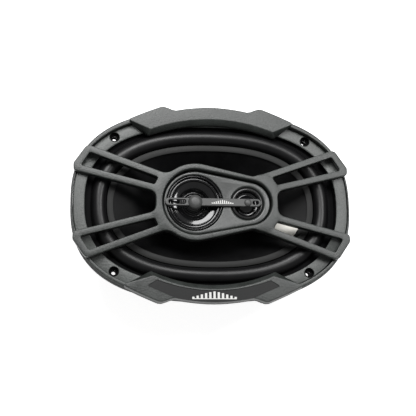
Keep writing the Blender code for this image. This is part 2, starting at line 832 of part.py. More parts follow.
# --------------------------------------------------------------------- pod
def build_pod():
    outline = teardrop(RING_BIG_X, POD_BIG_R, RING_SMALL_X, POD_SMALL_R)
    housing = prism("pod_housing", [edge_stack(outline, POD_BOTTOM, POD_TOP, 1.2)], BLACK_PLASTIC)
    cavity = teardrop(RING_BIG_X, POD_BIG_R - POD_WALL, RING_SMALL_X, POD_SMALL_R - POD_WALL)
    loops = [[(x, y, POD_BOTTOM - 2.0) for x, y in cavity], [(x, y, POD_TOP - 2.4) for x, y in cavity]]
    combine(housing, prism("cutter", [loops], BLACK_PLASTIC), "DIFFERENCE")
    for cx, r in ((MID_X, MID_HOLE_R), (TWEETER_X, TWEETER_HOLE_R)):
        profile = [(0.0, 84.0), (r, 84.0), (r, POD_TOP - 0.7), (r + 0.7, POD_TOP), (r + 0.7, 96.0), (0.0, 96.0)]
        cutter = lathe("cutter", profile, BLACK_PLASTIC, ROUND_STEPS, cx)
        combine(housing, cutter, "DIFFERENCE")
    back = prism("pod_back_plate", [edge_stack(outline, 72.9, 75.4, 0.6)], BLACK_PLASTIC)
    bore = rod("cutter", 2.0, 70.0, 80.0, BLACK_PLASTIC, TINY_STEPS)
    combine(back, bore, "DIFFERENCE")
    post = [(2.0, 4.0), (POST_R, 4.0), (POST_R, 70.0), (7.5, 71.6), (7.5, 72.6), (2.0, 72.6)]
    lathe("pod_post", post, STEEL, SMALL_STEPS)
    lathe("post_nut", [(0.0, 0.5), (7.0, 0.5), (7.0, 3.0), (0.0, 3.0)], STEEL, 6)


def build_phase_bar():
    outline = []
    for cx, start in ((37.1, -90.0), (-37.4, 90.0)):
        for k in range(7):
            t = math.radians(start + 180.0 * k / 6.0)
            outline.append((cx + 3.3 * math.cos(t), 3.3 * math.sin(t)))
    slots = []
    for x0, x1, w in ((-37.2, -23.6, 1.3), (33.6, 37.2, 1.2)):
        slots.append(round_corners([(x0, -w), (x1, -w), (x1, w), (x0, w)], w * 0.8, 2))
    stacks = [edge_stack(outline, 92.3, 94.8, 0.5)]
    for slot in slots:
        stacks.append(edge_stack(slot, 92.3, 94.8, -0.3))
    bar = prism("phase_bar", stacks, SATIN_PLASTIC)
    big = [(0.0, 86.0), (4.2, 87.2), (6.2, 91.0), (6.2, 93.9), (5.5, 95.6), (3.4, 96.9), (0.0, 97.3)]
    small = [(0.0, 90.6), (2.0, 90.9), (3.3, 91.8), (3.3, 94.6), (2.5, 95.8), (0.0, 96.4)]
    combine(bar, lathe("plug", big, SATIN_PLASTIC, 16, MID_X), "UNION")
    combine(bar, lathe("plug", small, SATIN_PLASTIC, TINY_STEPS, TWEETER_X), "UNION")


def build_midrange():
    bezel = [(21.6, 87.0), (23.5, 87.0), (23.5, 91.0), (22.7, 91.7), (21.6, 90.8)]
    lathe("mid_bezel", bezel, GLOSS_BLACK, ROUND_STEPS, MID_X)
    line = [(0.0, 84.2), (3.6, 83.8), (6.8, 82.5), (8.4, 83.5), (9.6, 83.0), (14.0, 85.6), (17.8, 88.4),
            (20.0, 90.1), (21.2, 89.7)]
    lathe("mid_cone", thick_profile(line, 0.6), GLOSS_BLACK, SMALL_STEPS, MID_X, sharp=50.0)
    frame = [(12.4, 80.9), (14.6, 81.4), (20.4, 85.4), (23.2, 86.2)]
    lathe("mid_frame", thick_profile(frame, 0.8), BLACK_PAINT, SMALL_STEPS, MID_X)
    tube("mid_voice_coil", 5.9, 6.7, 77.4, 81.9, COPPER, SMALL_STEPS, MID_X)
    magnet = [(0.0, 75.9), (12.0, 75.9), (12.0, 80.2), (7.6, 80.2), (7.6, 76.8), (5.2, 76.8), (5.2, 80.2),
              (0.0, 80.2)]
    lathe("mid_magnet", magnet, FERRITE, SMALL_STEPS, MID_X)


def build_tweeter():
    bezel = [(10.5, 87.0), (13.5, 87.0), (13.5, 90.8), (12.0, 91.9), (10.5, 90.8)]
    lathe("tweeter_bezel", bezel, SATIN_PLASTIC, ROUND_STEPS, TWEETER_X)
    line = [(0.0, 89.6), (3.4, 89.2), (6.4, 88.0), (8.2, 86.4), (10.2, 86.6)]
    lathe("tweeter_dome", thick_profile(line, 0.4), GLOSS_BLACK, SMALL_STEPS, TWEETER_X, sharp=50.0)
    tube("tweeter_voice_coil", 7.7, 8.3, 81.6, 85.8, COPPER, SMALL_STEPS, TWEETER_X)
    magnet = [(0.0, 75.9), (12.6, 75.9), (12.6, 84.6), (9.2, 84.6), (9.2, 80.6), (6.9, 80.6), (6.9, 84.6),
              (0.0, 84.6)]
    lathe("tweeter_magnet", magnet, FERRITE, SMALL_STEPS, TWEETER_X)


# --------------------------------------------------------------- terminals
def rib_frame(cell, row):
    """Middle, tangent, upward direction and outward normal of a two-cell basket rib."""
    rings = basket_rings()
    corners = [Vector(rings[i][j]) for i in (row, row + 1) for j in (cell, cell + 2)]
    middle = sum(corners, Vector((0.0, 0.0, 0.0))) / 4.0
    across = (corners[1] + corners[3] - corners[0] - corners[2]).normalized()
    along = (corners[0] + corners[1] - corners[2] - corners[3]).normalized()
    return middle, across, along, across.cross(along).normalized()


def build_terminals():
    middle, across, along, out = rib_frame(26, 3)
    across = (across + Vector((0.35, 0.0, 0.0))).normalized()
    base = middle + out * 3.9
    board = box("terminal_board", (-17.0, -7.0, -0.8), (17.0, 7.0, 0.8), FIBRE)
    place_on(board, base, across, along)
    for name, x, width in (("terminal_positive", -10.0, 6.3), ("terminal_negative", 10.0, 4.8)):
        blade = box(name, (-width / 2.0, -15.0, -0.4), (width / 2.0, 4.0, 0.4), BRASS)
        place_on(blade, base + out * 1.5 + across * x, across, along)
    for name, x in (("terminal_rivet_left", -2.4), ("terminal_rivet_right", 2.4)):
        rivet = rod(name, 1.3, -2.4, -1.1, STEEL, TINY_STEPS)
        place_on(rivet, base + across * x, across, along)


def build_capacitors():
    """Two crossover capacitors stuck to the basket cup, under the spider shelf."""
    for name, degrees, r, length in (("mid_capacitor", 215.0, 4.6, 21.0), ("tweeter_capacitor", 325.0, 3.8, 16.0)):
        half = length / 2.0
        body = [(0.0, -half), (r - 0.5, -half), (r, 0.5 - half), (r, half - 0.5), (r - 0.5, half), (0.0, half)]
        cap = lathe(name, body, CAP_SLEEVE, 16)
        t = math.radians(degrees)
        outward = Vector((math.cos(t), math.sin(t), 0.0))
        place_on(cap, outward * (43.4 + r) + Vector((0.0, 0.0, 32.2)), outward, Vector((0.0, 0.0, 1.0)))


def build_leads():
    for name, x, tip in (("tinsel_lead_positive", -16.0, -8.0), ("tinsel_lead_negative", -4.0, 3.0)):
        points = []
        start = Vector((x, -57.5, 56.0))
        end = Vector((tip, -22.0, 49.6))
        for k in range(9):
            f = k / 8.0
            p = start.lerp(end, f)
            sag = -7.0 * math.sin(math.pi * f)
            points.append((p.x, p.y, p.z + sag))
        cable(name, points, 0.6, COPPER)


def main():
    clear_scene()
    build_motor()
    build_basket()
    build_gasket()
    build_cone()
    build_cone_label()
    build_surround()
    build_spider()
    build_voice_coil()
    build_front_frame()
    build_grille()
    build_badges()
    build_pod()
    build_phase_bar()
    build_midrange()
    build_tweeter()
    build_terminals()
    build_capacitors()
    build_leads()


main()
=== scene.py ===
"""Looks for the coaxial car speaker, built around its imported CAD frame.

The magnet's back face stands on z = 0 and the speaker fires along +Z. Numbers below are
millimetres unless they say otherwise; every mesh is made in metres.
"""
import math

import bmesh
import bpy
import numpy as np
from mathutils import Matrix, Vector
from mathutils.geometry import delaunay_2d_cdt


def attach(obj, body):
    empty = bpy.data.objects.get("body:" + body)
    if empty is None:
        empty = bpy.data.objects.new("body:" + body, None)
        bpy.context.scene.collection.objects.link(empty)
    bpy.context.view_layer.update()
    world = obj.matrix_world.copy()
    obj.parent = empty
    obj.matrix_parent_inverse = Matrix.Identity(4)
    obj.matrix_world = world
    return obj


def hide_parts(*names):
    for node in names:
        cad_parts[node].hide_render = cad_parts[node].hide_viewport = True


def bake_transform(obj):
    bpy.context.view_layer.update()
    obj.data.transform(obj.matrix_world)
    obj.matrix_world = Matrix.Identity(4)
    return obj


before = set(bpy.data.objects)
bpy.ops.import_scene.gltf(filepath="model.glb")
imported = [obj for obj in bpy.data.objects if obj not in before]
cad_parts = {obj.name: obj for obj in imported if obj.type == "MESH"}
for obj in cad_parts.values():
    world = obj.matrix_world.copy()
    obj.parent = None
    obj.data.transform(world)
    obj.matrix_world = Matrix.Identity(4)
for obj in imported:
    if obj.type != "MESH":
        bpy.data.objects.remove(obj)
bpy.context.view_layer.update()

MM = 0.001
ON_AXIS = 1e-6  # a profile point this near the axis is on it
OVAL_STEPS = 200
ROUND_STEPS = 96

# The CAD's ovals: half length, half width and power of the outline, and how the last two fall
# with the distance in from it
OUT_A, OUT_B, OUT_N = 118.4, 82.0, 2.55
IN_B_RATE, IN_N_RATE = 0.96, 0.006

# Centre ring, pod and the two small drivers
RING_BIG_X, RING_SMALL_X = -14.8, 30.3
MID_X, TWEETER_X = -15.4, 29.0
RING_BIG_R, RING_SMALL_R = 32.6, 22.5
RING_TOP = 96.4
POD_TOP = 92.0

# Mouldings, screws, cone and roll
MOULDING_LOW = 78.0
PLATE_TOP = 92.0
SCREW_X, SCREW_Y = 82.1, 57.4
CONE_ROWS = ((24.0, 21.6, 2.05, 51.6), (40.0, 30.2, 2.16, 60.0), (58.0, 38.0, 2.26, 68.2),
             (74.0, 44.4, 2.32, 75.0), (84.0, 48.7, 2.34, 79.1))
ROLL_MIDDLE, ROLL_HALF_WIDTH, ROLL_HEIGHT, ROLL_LOW = 23.4, 6.0, 5.6, 79.4
SPIDER_OUTER_R, SPIDER_INNER_R, SPIDER_Z = 44.6, 18.4, 41.0


# ============================================================== materials
def set_inputs(node, **values):
    """Set inputs by name, with an underscore for each space in it."""
    for name, value in values.items():
        node.inputs[name.replace("_", " ")].default_value = value


def add_node(tree, kind, **values):
    node = tree.nodes.new("ShaderNode" + kind)
    set_inputs(node, **values)
    return node


def link_noise(tree, coords, feature, detail=2.0, rough=0.55):
    """Noise whose features are about this many millimetres across."""
    node = add_node(tree, "TexNoise", Scale=1000.0 / feature, Detail=detail, Roughness=rough)
    tree.links.new(coords, node.inputs["Vector"])
    return node.outputs["Fac"]


def link_wave(tree, coords, scale, distortion, detail=2.0, **settings):
    node = add_node(tree, "TexWave", Scale=scale, Distortion=distortion, Detail=detail)
    for key, value in settings.items():
        setattr(node, key, value)
    tree.links.new(coords, node.inputs["Vector"])
    return node.outputs["Fac"]


def thread_scale(pitch):
    """Scale of a wave that repeats about every 2 mm for a pitch of 1."""
    return 1000.0 / pitch / 6.283


def link_range(tree, value, low, high):
    """Low to high over the span that most noise values fall in."""
    node = add_node(tree, "MapRange", From_Min=0.3, From_Max=0.7, To_Min=low, To_Max=high)
    tree.links.new(value, node.inputs["Value"])
    return node.outputs["Result"]


def link_math(tree, operation, first, second):
    node = tree.nodes.new("ShaderNodeMath")
    node.operation = operation
    for socket, value in zip(node.inputs, (first, second)):
        if isinstance(value, (int, float)):
            socket.default_value = value
        else:
            tree.links.new(value, socket)
    return node.outputs["Value"]


def link_sum(tree, first, second, share):
    """This share of the first value and the rest of the second."""
    return link_math(tree, "ADD", link_math(tree, "MULTIPLY", first, share),
                     link_math(tree, "MULTIPLY", second, 1.0 - share))


def link_colour(tree, shader, value, colour, *stops):
    """Base colour along a ramp, each stop a position and a factor on the colour."""
    node = add_node(tree, "ValToRGB")
    for element, (position, factor) in zip(node.color_ramp.elements, stops):
        element.position = position
        element.color = (*(min(c * factor, 1.0) for c in colour), 1.0)
    tree.links.new(value, node.inputs["Fac"])
    tree.links.new(node.outputs["Color"], shader.inputs["Base Color"])


def link_bump(tree, shader, height, strength, depth):
    """Bump of this depth in millimetres."""
    node = add_node(tree, "Bump", Strength=strength, Distance=depth * MM)
    tree.links.new(height, node.inputs["Height"])
    tree.links.new(node.outputs["Normal"], shader.inputs["Normal"])


def base_material(name, rough, metallic=0.0, specular=0.5, coat=0.0, coat_rough=0.1):
    mat = bpy.data.materials.new(name)
    mat.use_nodes = True
    tree = mat.node_tree
    shader = tree.nodes["Principled BSDF"]
    set_inputs(shader, Roughness=rough, Metallic=metallic, Specular_IOR_Level=specular,
               Coat_Weight=coat, Coat_Roughness=coat_rough)
    return mat, tree, shader, add_node(tree, "TexCoord").outputs["Object"]


def moulded(name, colour, rough, grain, depth, tone=0.12, swing=0.06, patch=14.0, **rest):
    """Moulded, painted or cast surface: fine grain, faint patches, uneven gloss."""
    mat, tree, shader, coords = base_material(name, rough, **rest)
    fine = link_noise(tree, coords, grain, 3.0, 0.6)
    both = link_sum(tree, fine, link_noise(tree, coords, patch), 0.55)
    link_colour(tree, shader, both, colour, (0.36, 1.0 - tone), (0.64, 1.0 + tone))
    tree.links.new(link_range(tree, both, rough - swing, rough + swing), shader.inputs["Roughness"])
    link_bump(tree, shader, fine, 0.5, depth)
    return mat


def turned_steel(name, colour, rough):
    """Steel with faint concentric turning marks and a few dull patches."""
    mat, tree, shader, coords = base_material(name, rough, metallic=1.0)
    rings = link_wave(tree, coords, 260.0, 0.6, wave_type="RINGS", rings_direction="Z")
    dull = link_noise(tree, coords, 7.0, 3.0)
    link_colour(tree, shader, dull, colour, (0.35, 0.8), (0.6, 1.08))
    tree.links.new(link_range(tree, dull, rough + 0.1, rough - 0.06), shader.inputs["Roughness"])
    link_bump(tree, shader, rings, 0.25, 0.05)
    return mat


def woven(name, colour, pitch):
    """Cloth: two crossed sets of threads, with soiled patches."""
    mat, tree, shader, coords = base_material(name, 0.9, specular=0.25)
    threads = [link_wave(tree, coords, thread_scale(pitch), 0.8, 1.0, bands_direction=direction)
               for direction in ("X", "Y")]
    weave = link_math(tree, "MAXIMUM", *threads)
    both = link_sum(tree, weave, link_noise(tree, coords, 6.0, 3.0), 0.5)
    link_colour(tree, shader, both, colour, (0.3, 0.55), (0.75, 1.12))
    link_bump(tree, shader, weave, 0.8, 0.12)
    return mat


def wound(name, colour, pitch, direction="Z"):
    """Wire laid in turns: fine ridges across one direction."""
    mat, tree, shader, coords = base_material(name, 0.35, metallic=1.0)
    ridges = link_wave(tree, coords, thread_scale(pitch), 0.2, bands_direction=direction)
    both = link_sum(tree, ridges, link_noise(tree, coords, 4.0), 0.6)
    link_colour(tree, shader, both, colour, (0.2, 0.45), (0.8, 1.1))
    link_bump(tree, shader, ridges, 0.7, 0.12)
    return mat


# Material name, colour, roughness, grain in mm, bump depth in mm, and what differs from the usual
MOULDED = {
    "grille": ("grille_plastic", (0.032, 0.0365, 0.034), 0.4, 1.3, 0.36, {"tone": 0.4, "specular": 0.62}),
    "skirt": ("skirt_plastic", (0.045, 0.046, 0.045), 0.8, 1.1, 0.07, {"specular": 0.1}),
    "foam": ("gasket_foam", (0.012, 0.012, 0.0125), 0.95, 0.9, 0.3, {"tone": 0.3, "specular": 0.15}),
    "inlay": ("inlay_plastic", (0.009, 0.0094, 0.0094), 0.5, 1.3, 0.08, {"specular": 0.35}),
    "frame": ("frame_plastic", (0.067, 0.073, 0.069), 0.38, 1.4, 0.4, {"tone": 0.4, "specular": 0.6}),
    "pod": ("pod_plastic", (0.029, 0.0325, 0.0305), 0.33, 1.2, 0.08, {"specular": 0.72}),
    "bar": ("bar_plastic", (0.07, 0.071, 0.07), 0.45, 1.2, 0.04, {}),
    "trim": ("trim_ring_plastic", (0.014, 0.0145, 0.014), 0.55, 1.0, 0.03, {"specular": 0.28}),
    # Near black used as painted shade: the screw recesses of the front frame, and the surround's lands under
    # the frame and the trim ring
    "land": ("glued_land", (0.004, 0.004, 0.0045), 0.7, 1.0, 0.03, {"specular": 0.08}),
    # Inner wall of the front frame: the gloss is its own finish, the near-black colour is partly painted
    # shade
    "wall": ("polished_wall", (0.004, 0.004, 0.0045), 0.14, 3.0, 0.01, {"specular": 0.4}),
    "gloss": ("gloss_black", (0.006, 0.006, 0.0065), 0.12, 3.0, 0.01,
              {"tone": 0.2, "swing": 0.03, "coat": 0.5, "coat_rough": 0.05}),
    "bezel": ("bezel_black", (0.016, 0.016, 0.016), 0.28, 1.0, 0.02, {}),
    "basket": ("basket_enamel", (0.012, 0.012, 0.0125), 0.26, 1.6, 0.06,
               {"patch": 20.0, "coat": 0.3, "coat_rough": 0.15}),
    "cone": ("cone_fibre", (0.005, 0.005, 0.0053), 0.45, 0.8, 0.1, {"tone": 0.35, "specular": 0.16}),
    "rubber": ("surround_rubber", (0.006, 0.006, 0.0065), 0.34, 0.7, 0.03, {"tone": 0.2, "specular": 0.38}),
    "ferrite": ("ferrite", (0.045, 0.045, 0.048), 0.62, 1.8, 0.2, {"tone": 0.3}),
    "plain_steel": ("plain_steel", (0.5, 0.5, 0.52), 0.34, 2.0, 0.03, {"metallic": 1.0}),
    "brass": ("tinned_brass", (0.62, 0.5, 0.28), 0.3, 2.4, 0.03, {"metallic": 1.0}),
    "kapton": ("kapton", (0.33, 0.17, 0.05), 0.3, 2.0, 0.02, {"tone": 0.1}),
    "board": ("phenolic_board", (0.14, 0.075, 0.035), 0.5, 0.8, 0.04, {"tone": 0.3}),
    # White patch on the cone behind the lower right slot: a painted reflection
    "paper": ("label_paper", (0.84, 0.82, 0.76), 0.7, 1.0, 0.05, {"tone": 0.06}),
    "print": ("white_print", (0.78, 0.78, 0.76), 0.5, 0.8, 0.02, {"tone": 0.05}),
    "sleeve": ("capacitor_sleeve", (0.015, 0.04, 0.14), 0.3, 1.5, 0.02, {"tone": 0.12}),
    "can": ("capacitor_can", (0.6, 0.6, 0.62), 0.3, 1.5, 0.02, {"metallic": 1.0}),
}


def make_looks():
    looks = {look: moulded(*row, **rest) for look, (*row, rest) in MOULDED.items()}
    looks["steel"] = turned_steel("zinc_steel", (0.56, 0.56, 0.58), 0.3)
    looks["copper"] = wound("copper_wire", (0.62, 0.28, 0.13), 0.35)
    looks["braid"] = wound("tinsel_braid", (0.6, 0.36, 0.2), 0.6, direction="DIAGONAL")
    looks["spider"] = woven("spider_cloth", (0.5, 0.36, 0.15), 0.9)
    return looks


# ============================================================== mesh tools
def settle(obj, sharp=32.0):
    """Merge doubles, face outwards, shade smooth with sharp creases."""
    mesh = obj.data
    bm = bmesh.new()
    bm.from_mesh(mesh)
    bmesh.ops.remove_doubles(bm, verts=bm.verts, dist=1e-6)
    bmesh.ops.dissolve_degenerate(bm, edges=bm.edges, dist=1e-7)
    bmesh.ops.recalc_face_normals(bm, faces=bm.faces)
    bm.to_mesh(mesh)
    bm.free()
    for face in mesh.polygons:
        face.use_smooth = True
    mesh.set_sharp_from_angle(angle=math.radians(sharp))


def link_object(name, data):
    obj = bpy.data.objects.new(name, data)
    bpy.context.scene.collection.objects.link(obj)
    return obj


def add_object(name, verts, faces, look, sharp=32.0):
    mesh = bpy.data.meshes.new(name)
    mesh.from_pydata([(x * MM, y * MM, z * MM) for x, y, z in verts], [], faces)
    mesh.materials.append(look)
    obj = link_object(name, mesh)
    settle(obj, sharp)
    return obj


def bake_modifiers(obj):
    """Swap the mesh for its evaluated self."""
    bpy.context.view_layer.update()
    graph = bpy.context.evaluated_depsgraph_get()
    mesh = bpy.data.meshes.new_from_object(obj.evaluated_get(graph))
    obj.modifiers.clear()
    old = obj.data
    mesh.name = obj.name
    obj.data = mesh
    bpy.data.meshes.remove(old)


def combine(target, other, operation, sharp=32.0):
    """Boolean the other solid into the target and drop the other."""
    mod = target.modifiers.new("combine", "BOOLEAN")
    mod.operation = operation
    mod.solver = "EXACT"
    mod.object = other
    bake_modifiers(target)
    bpy.data.objects.remove(other, do_unlink=True)
    while len(target.data.materials) > 1:
        target.data.materials.pop()
    for face in target.data.polygons:
        face.material_index = 0
    settle(target, sharp)


def oval_point(a, b, n, t):
    """Point of a superellipse at parameter t."""
    c = math.cos(t)
    s = math.sin(t)
    return a * math.copysign(abs(c) ** (2.0 / n), c), b * math.copysign(abs(s) ** (2.0 / n), s)


def oval_ring(a, b, n, z, steps=OVAL_STEPS):
    """Superellipse, counter-clockwise from half a step past +X."""
    return [(*oval_point(a, b, n, 2.0 * math.pi * (k + 0.5) / steps), z) for k in range(steps)]


def inset_oval(d, z, steps=OVAL_STEPS):
    """Oval of the CAD's family, this far in from the outline."""
    return oval_ring(OUT_A - d, OUT_B - IN_B_RATE * d, OUT_N - IN_N_RATE * d, z, steps)


def circle_ring(r, z, steps, cx=0.0, cy=0.0):
    angles = [2.0 * math.pi * k / steps for k in range(steps)]
    return [(cx + r * math.cos(t), cy + r * math.sin(t), z) for t in angles]


def quarter_turn(steps):
    """What the sine and the cosine lack of 1, at each step of a quarter circle."""
    angles = [0.5 * math.pi * k / steps for k in range(steps + 1)]
    return [(1.0 - math.sin(t), 1.0 - math.cos(t)) for t in angles]


def teardrop(r1, r2):
    """Two circles on the X axis, at the ring's centres, joined by their outer tangents."""
    phi = math.acos((r1 - r2) / (RING_SMALL_X - RING_BIG_X))
    arcs = ((RING_SMALL_X, r2, -phi, 2.0 * phi, 40), (RING_BIG_X, r1, phi, 2.0 * math.pi - 2.0 * phi, 64))
    points = []
    for x, r, first, sweep, steps in arcs:
        for k in range(steps + 1):
            t = first + sweep * k / steps
            points.append((x + r * math.cos(t), r * math.sin(t)))
    return points


def corners_of(points):
    """Each corner of a polygon as a vector, between the one before it and the one after it."""
    corners = [Vector(p) for p in points]
    return zip(corners[-1:] + corners[:-1], corners, corners[1:] + corners[:1])


def corner_mask(points, least=14.0):
    """Which corners of a polygon turn by more than this many degrees."""
    return [math.degrees((here - before).angle(after - here)) > least
            for before, here, after in corners_of(points)]


def round_corners(points, radius, steps=5, mask=None):
    """Counter-clockwise polygon with its masked corners turned into arcs."""
    result = []
    for k, (prev, here, after) in enumerate(corners_of(points)):
        if mask is not None and not mask[k]:
            result.append((here.x, here.y))
            continue
        to_prev = (prev - here).normalized()
        to_next = (after - here).normalized()
        half = 0.5 * to_prev.angle(to_next)
        reach = min(radius / math.tan(half), 0.45 * (prev - here).length, 0.45 * (after - here).length)
        r = reach * math.tan(half)
        middle = here + (to_prev + to_next).normalized() * (r / math.sin(half))
        start = here + to_prev * reach - middle
        end = here + to_next * reach - middle
        turn = start.angle_signed(end)
        for j in range(steps + 1):
            c = math.cos(-turn * j / steps)
            s = math.sin(-turn * j / steps)
            result.append((middle.x + start.x * c - start.y * s, middle.y + start.x * s + start.y * c))
    return result


def inset(points, d):
    """Move a counter-clockwise polygon inwards by d (outwards if negative)."""
    if abs(d) < 1e-9:
        return list(points)
    result = []
    for before, here, after in corners_of(points):
        e1 = (here - before).normalized()
        e2 = (after - here).normalized()
        n1 = Vector((-e1.y, e1.x))
        n2 = Vector((-e2.y, e2.x))
        mid = n1 + n2
        mid = mid / max(mid.dot(n1), 0.5)
        result.append((here.x + mid.x * d, here.y + mid.y * d))
    return result


def band_faces(low, high, count):
    """Quads between two loops of vertices that start at low and high."""
    ends = [(j, (j + 1) % count) for j in range(count)]
    return [(low + j, low + k, high + k, high + j) for j, k in ends]


def loft_closed(name, rings, look, sharp=32.0):
    """Ring-shaped solid: each loop joins the next, and the last joins the first."""
    count = len(rings[0])
    verts = [p for ring in rings for p in ring]
    faces = []
    for i in range(len(rings)):
        faces += band_faces(i * count, (i + 1) % len(rings) * count, count)
    return add_object(name, verts, faces, look, sharp)


def soften(profile, radius, steps=3):
    """Closed (r, z) profile with its corners turned into small arcs, except on the axis."""
    area = 0.0
    for (r0, z0), (r1, z1) in zip(profile, profile[1:] + profile[:1]):
        area += r0 * z1 - r1 * z0
    points = list(profile) if area > 0.0 else list(profile)[::-1]
    mask = [turns and r > ON_AXIS for turns, (r, _) in zip(corner_mask(points, 20.0), points)]
    return round_corners(points, radius, steps, mask)


def lathe(name, profile, look, steps=ROUND_STEPS, cx=0.0, cy=0.0, sharp=32.0, radius=0.0):
    """Turn a closed (r, z) profile; points on the axis become single vertices."""
    if radius > 0.0:
        profile = soften(profile, radius)
    verts = []
    rows = []
    for r, z in profile:
        if r < ON_AXIS:
            rows.append([len(verts)] * steps)
            verts.append((cx, cy, z))
        else:
            rows.append(list(range(len(verts), len(verts) + steps)))
            verts.extend(circle_ring(r, z, steps, cx, cy))
    faces = []
    for i in range(len(profile)):
        low = rows[i]
        high = rows[(i + 1) % len(profile)]
        if low[0] == low[1] and high[0] == high[1]:
            continue
        for j in range(steps):
            k = (j + 1) % steps
            face = []
            for index in (low[j], low[k], high[k], high[j]):
                if index not in face:
                    face.append(index)
            faces.append(tuple(face))
    return add_object(name, verts, faces, look, sharp)


def smooth_line(points, per_span=6):
    """Catmull-Rom curve through the points, as a denser list of tuples."""
    result = []
    last = len(points) - 1
    for k in range(last):
        p0, p1, p2, p3 = (np.array(points[min(max(i, 0), last)], float) for i in (k - 1, k, k + 1, k + 2))
        for j in range(per_span):
            t = j / per_span
            q = 0.5 * (2 * p1 + (p2 - p0) * t + (2 * p0 - 5 * p1 + 4 * p2 - p3) * t * t
                       + (3 * p1 - p0 - 3 * p2 + p3) * t ** 3)
            result.append(tuple(q))
    result.append(tuple(points[-1]))
    return result


def thick_profile(points, t):
    """Give an open (r, z) line a thickness t, square to the line."""
    upper = []
    lower = []
    last = len(points) - 1
    for k, (r, z) in enumerate(points):
        r0, z0 = points[max(k - 1, 0)]
        r1, z1 = points[min(k + 1, last)]
        along = math.hypot(r1 - r0, z1 - z0)
        nr = -(z1 - z0) / along
        nz = (r1 - r0) / along
        if r < ON_AXIS:
            nr = 0.0
            nz = 1.0
        upper.append((max(r + nr * t / 2.0, 0.0), z + nz * t / 2.0))
        lower.append((max(r - nr * t / 2.0, 0.0), z - nz * t / 2.0))
    return upper + lower[::-1]


def sheet(name, rings, t, look, skip=(), sharp=32.0, closed=True):
    """Thin skin through a grid of rings, with the listed grid cells left open."""
    rows = len(rings)
    count = len(rings[0])
    grid = np.array(rings, float)
    cells = count if closed else count - 1
    up = np.empty_like(grid)
    up[1:-1] = grid[2:] - grid[:-2]
    up[0] = grid[1] - grid[0]
    up[-1] = grid[-1] - grid[-2]
    side = np.roll(grid, -1, 1) - np.roll(grid, 1, 1)
    if not closed:
        side[:, 0] = grid[:, 1] - grid[:, 0]
        side[:, -1] = grid[:, -1] - grid[:, -2]
    normal = np.cross(side, up)
    normal /= np.linalg.norm(normal, axis=2, keepdims=True)
    skins = np.concatenate(((grid + normal * t / 2).reshape(-1, 3), (grid - normal * t / 2).reshape(-1, 3)))
    total = rows * count
    faces = []
    edges = {}
    for i in range(rows - 1):
        for j in range(cells):
            if (i, j) in skip:
                continue
            k = (j + 1) % count
            quad = (i * count + j, i * count + k, (i + 1) * count + k, (i + 1) * count + j)
            faces.append(quad)
            faces.append(tuple(v + total for v in reversed(quad)))
            for m in range(4):
                a = quad[m]
                b = quad[(m + 1) % 4]
                edges.setdefault((min(a, b), max(a, b)), []).append((a, b))
    for pairs in edges.values():
        if len(pairs) == 1:
            a, b = pairs[0]
            faces.append((b, a, a + total, b + total))
    used = sorted({v for face in faces for v in face})
    place = {v: k for k, v in enumerate(used)}
    verts = [tuple(skins[v]) for v in used]
    return add_object(name, verts, [tuple(place[v] for v in face) for face in faces], look, sharp)


def is_inside(point, loop):
    inside = False
    for k, here in enumerate(loop):
        before = loop[k - 1]
        if (here[1] > point.y) != (before[1] > point.y):
            share = (point.y - here[1]) / (before[1] - here[1])
            if point.x < here[0] + share * (before[0] - here[0]):
                inside = not inside
    return inside


def cap_faces(loops, start):
    """Triangles filling the first loop and leaving the other loops open."""
    coords = []
    edges = []
    index = []
    for loop, base in zip(loops, start):
        first = len(coords)
        for k, point in enumerate(loop):
            coords.append(Vector((point[0], point[1])))
            edges.append((first + k, first + (k + 1) % len(loop)))
            index.append(base + k)
    points, _, faces, orig, _, _ = delaunay_2d_cdt(coords, edges, [], 1, 1e-6)
    result = []
    for face in faces:
        centre = sum((points[v] for v in face), Vector((0.0, 0.0))) / len(face)
        if any(is_inside(centre, loop) for loop in loops[1:]):
            continue
        result.append(tuple(index[orig[v][0]] for v in face))
    return result


def prism(name, stacks, look, sharp=32.0):
    """Solid between matching loops; the first stack is the outside, the rest are holes."""
    verts = []
    faces = []
    starts = []
    for stack in stacks:
        count = len(stack[0])
        levels = []
        for loop in stack:
            levels.append(len(verts))
            verts.extend(loop)
        starts.append(levels)
        for low, high in zip(levels, levels[1:]):
            faces += band_faces(low, high, count)
    faces.extend(cap_faces([stack[0] for stack in stacks], [s[0] for s in starts]))
    faces.extend(cap_faces([stack[-1] for stack in stacks], [s[-1] for s in starts]))
    return add_object(name, verts, faces, look, sharp)


def rounded_stack(points, low, high, top=0.8, bottom=0.3, hole=False, steps=4):
    """Loops up a wall with rounded edges; low and high are numbers or functions of (x, y)."""
    low_at = low if callable(low) else (lambda x, y: low)
    high_at = high if callable(high) else (lambda x, y: high)
    sign = -1.0 if hole else 1.0
    stack = []
    for s, c in quarter_turn(2):
        stack.append([(x, y, low_at(x, y) + bottom * c) for x, y in inset(points, sign * bottom * s)])
    for s, c in quarter_turn(steps):
        stack.append([(x, y, high_at(x, y) - top * s) for x, y in inset(points, sign * top * c)])
    return stack


def polygon_distance(points, x, y):
    """Signed distance from each grid point to a polygon, negative inside."""
    nearest = np.full(x.shape, 1e9)
    inside = np.zeros(x.shape, bool)
    for k, (bx, by) in enumerate(points):
        ax, ay = points[k - 1]
        ex, ey = bx - ax, by - ay
        wx, wy = x - ax, y - ay
        t = np.clip((wx * ex + wy * ey) / (ex * ex + ey * ey + 1e-12), 0.0, 1.0)
        nearest = np.minimum(nearest, (wx - ex * t) ** 2 + (wy - ey * t) ** 2)
        if abs(ey) > 1e-12:
            crosses = ((ay > y) != (by > y)) & (x < ax + (y - ay) / ey * ex)
            inside ^= crosses
    return np.where(inside, -1.0, 1.0) * np.sqrt(nearest)


def soft_union(first, second, reach):
    """Union of two distance fields with a fillet where they meet."""
    overlap = np.maximum(reach - np.abs(first - second), 0.0) / reach
    return np.minimum(first, second) - overlap * overlap * reach * 0.25


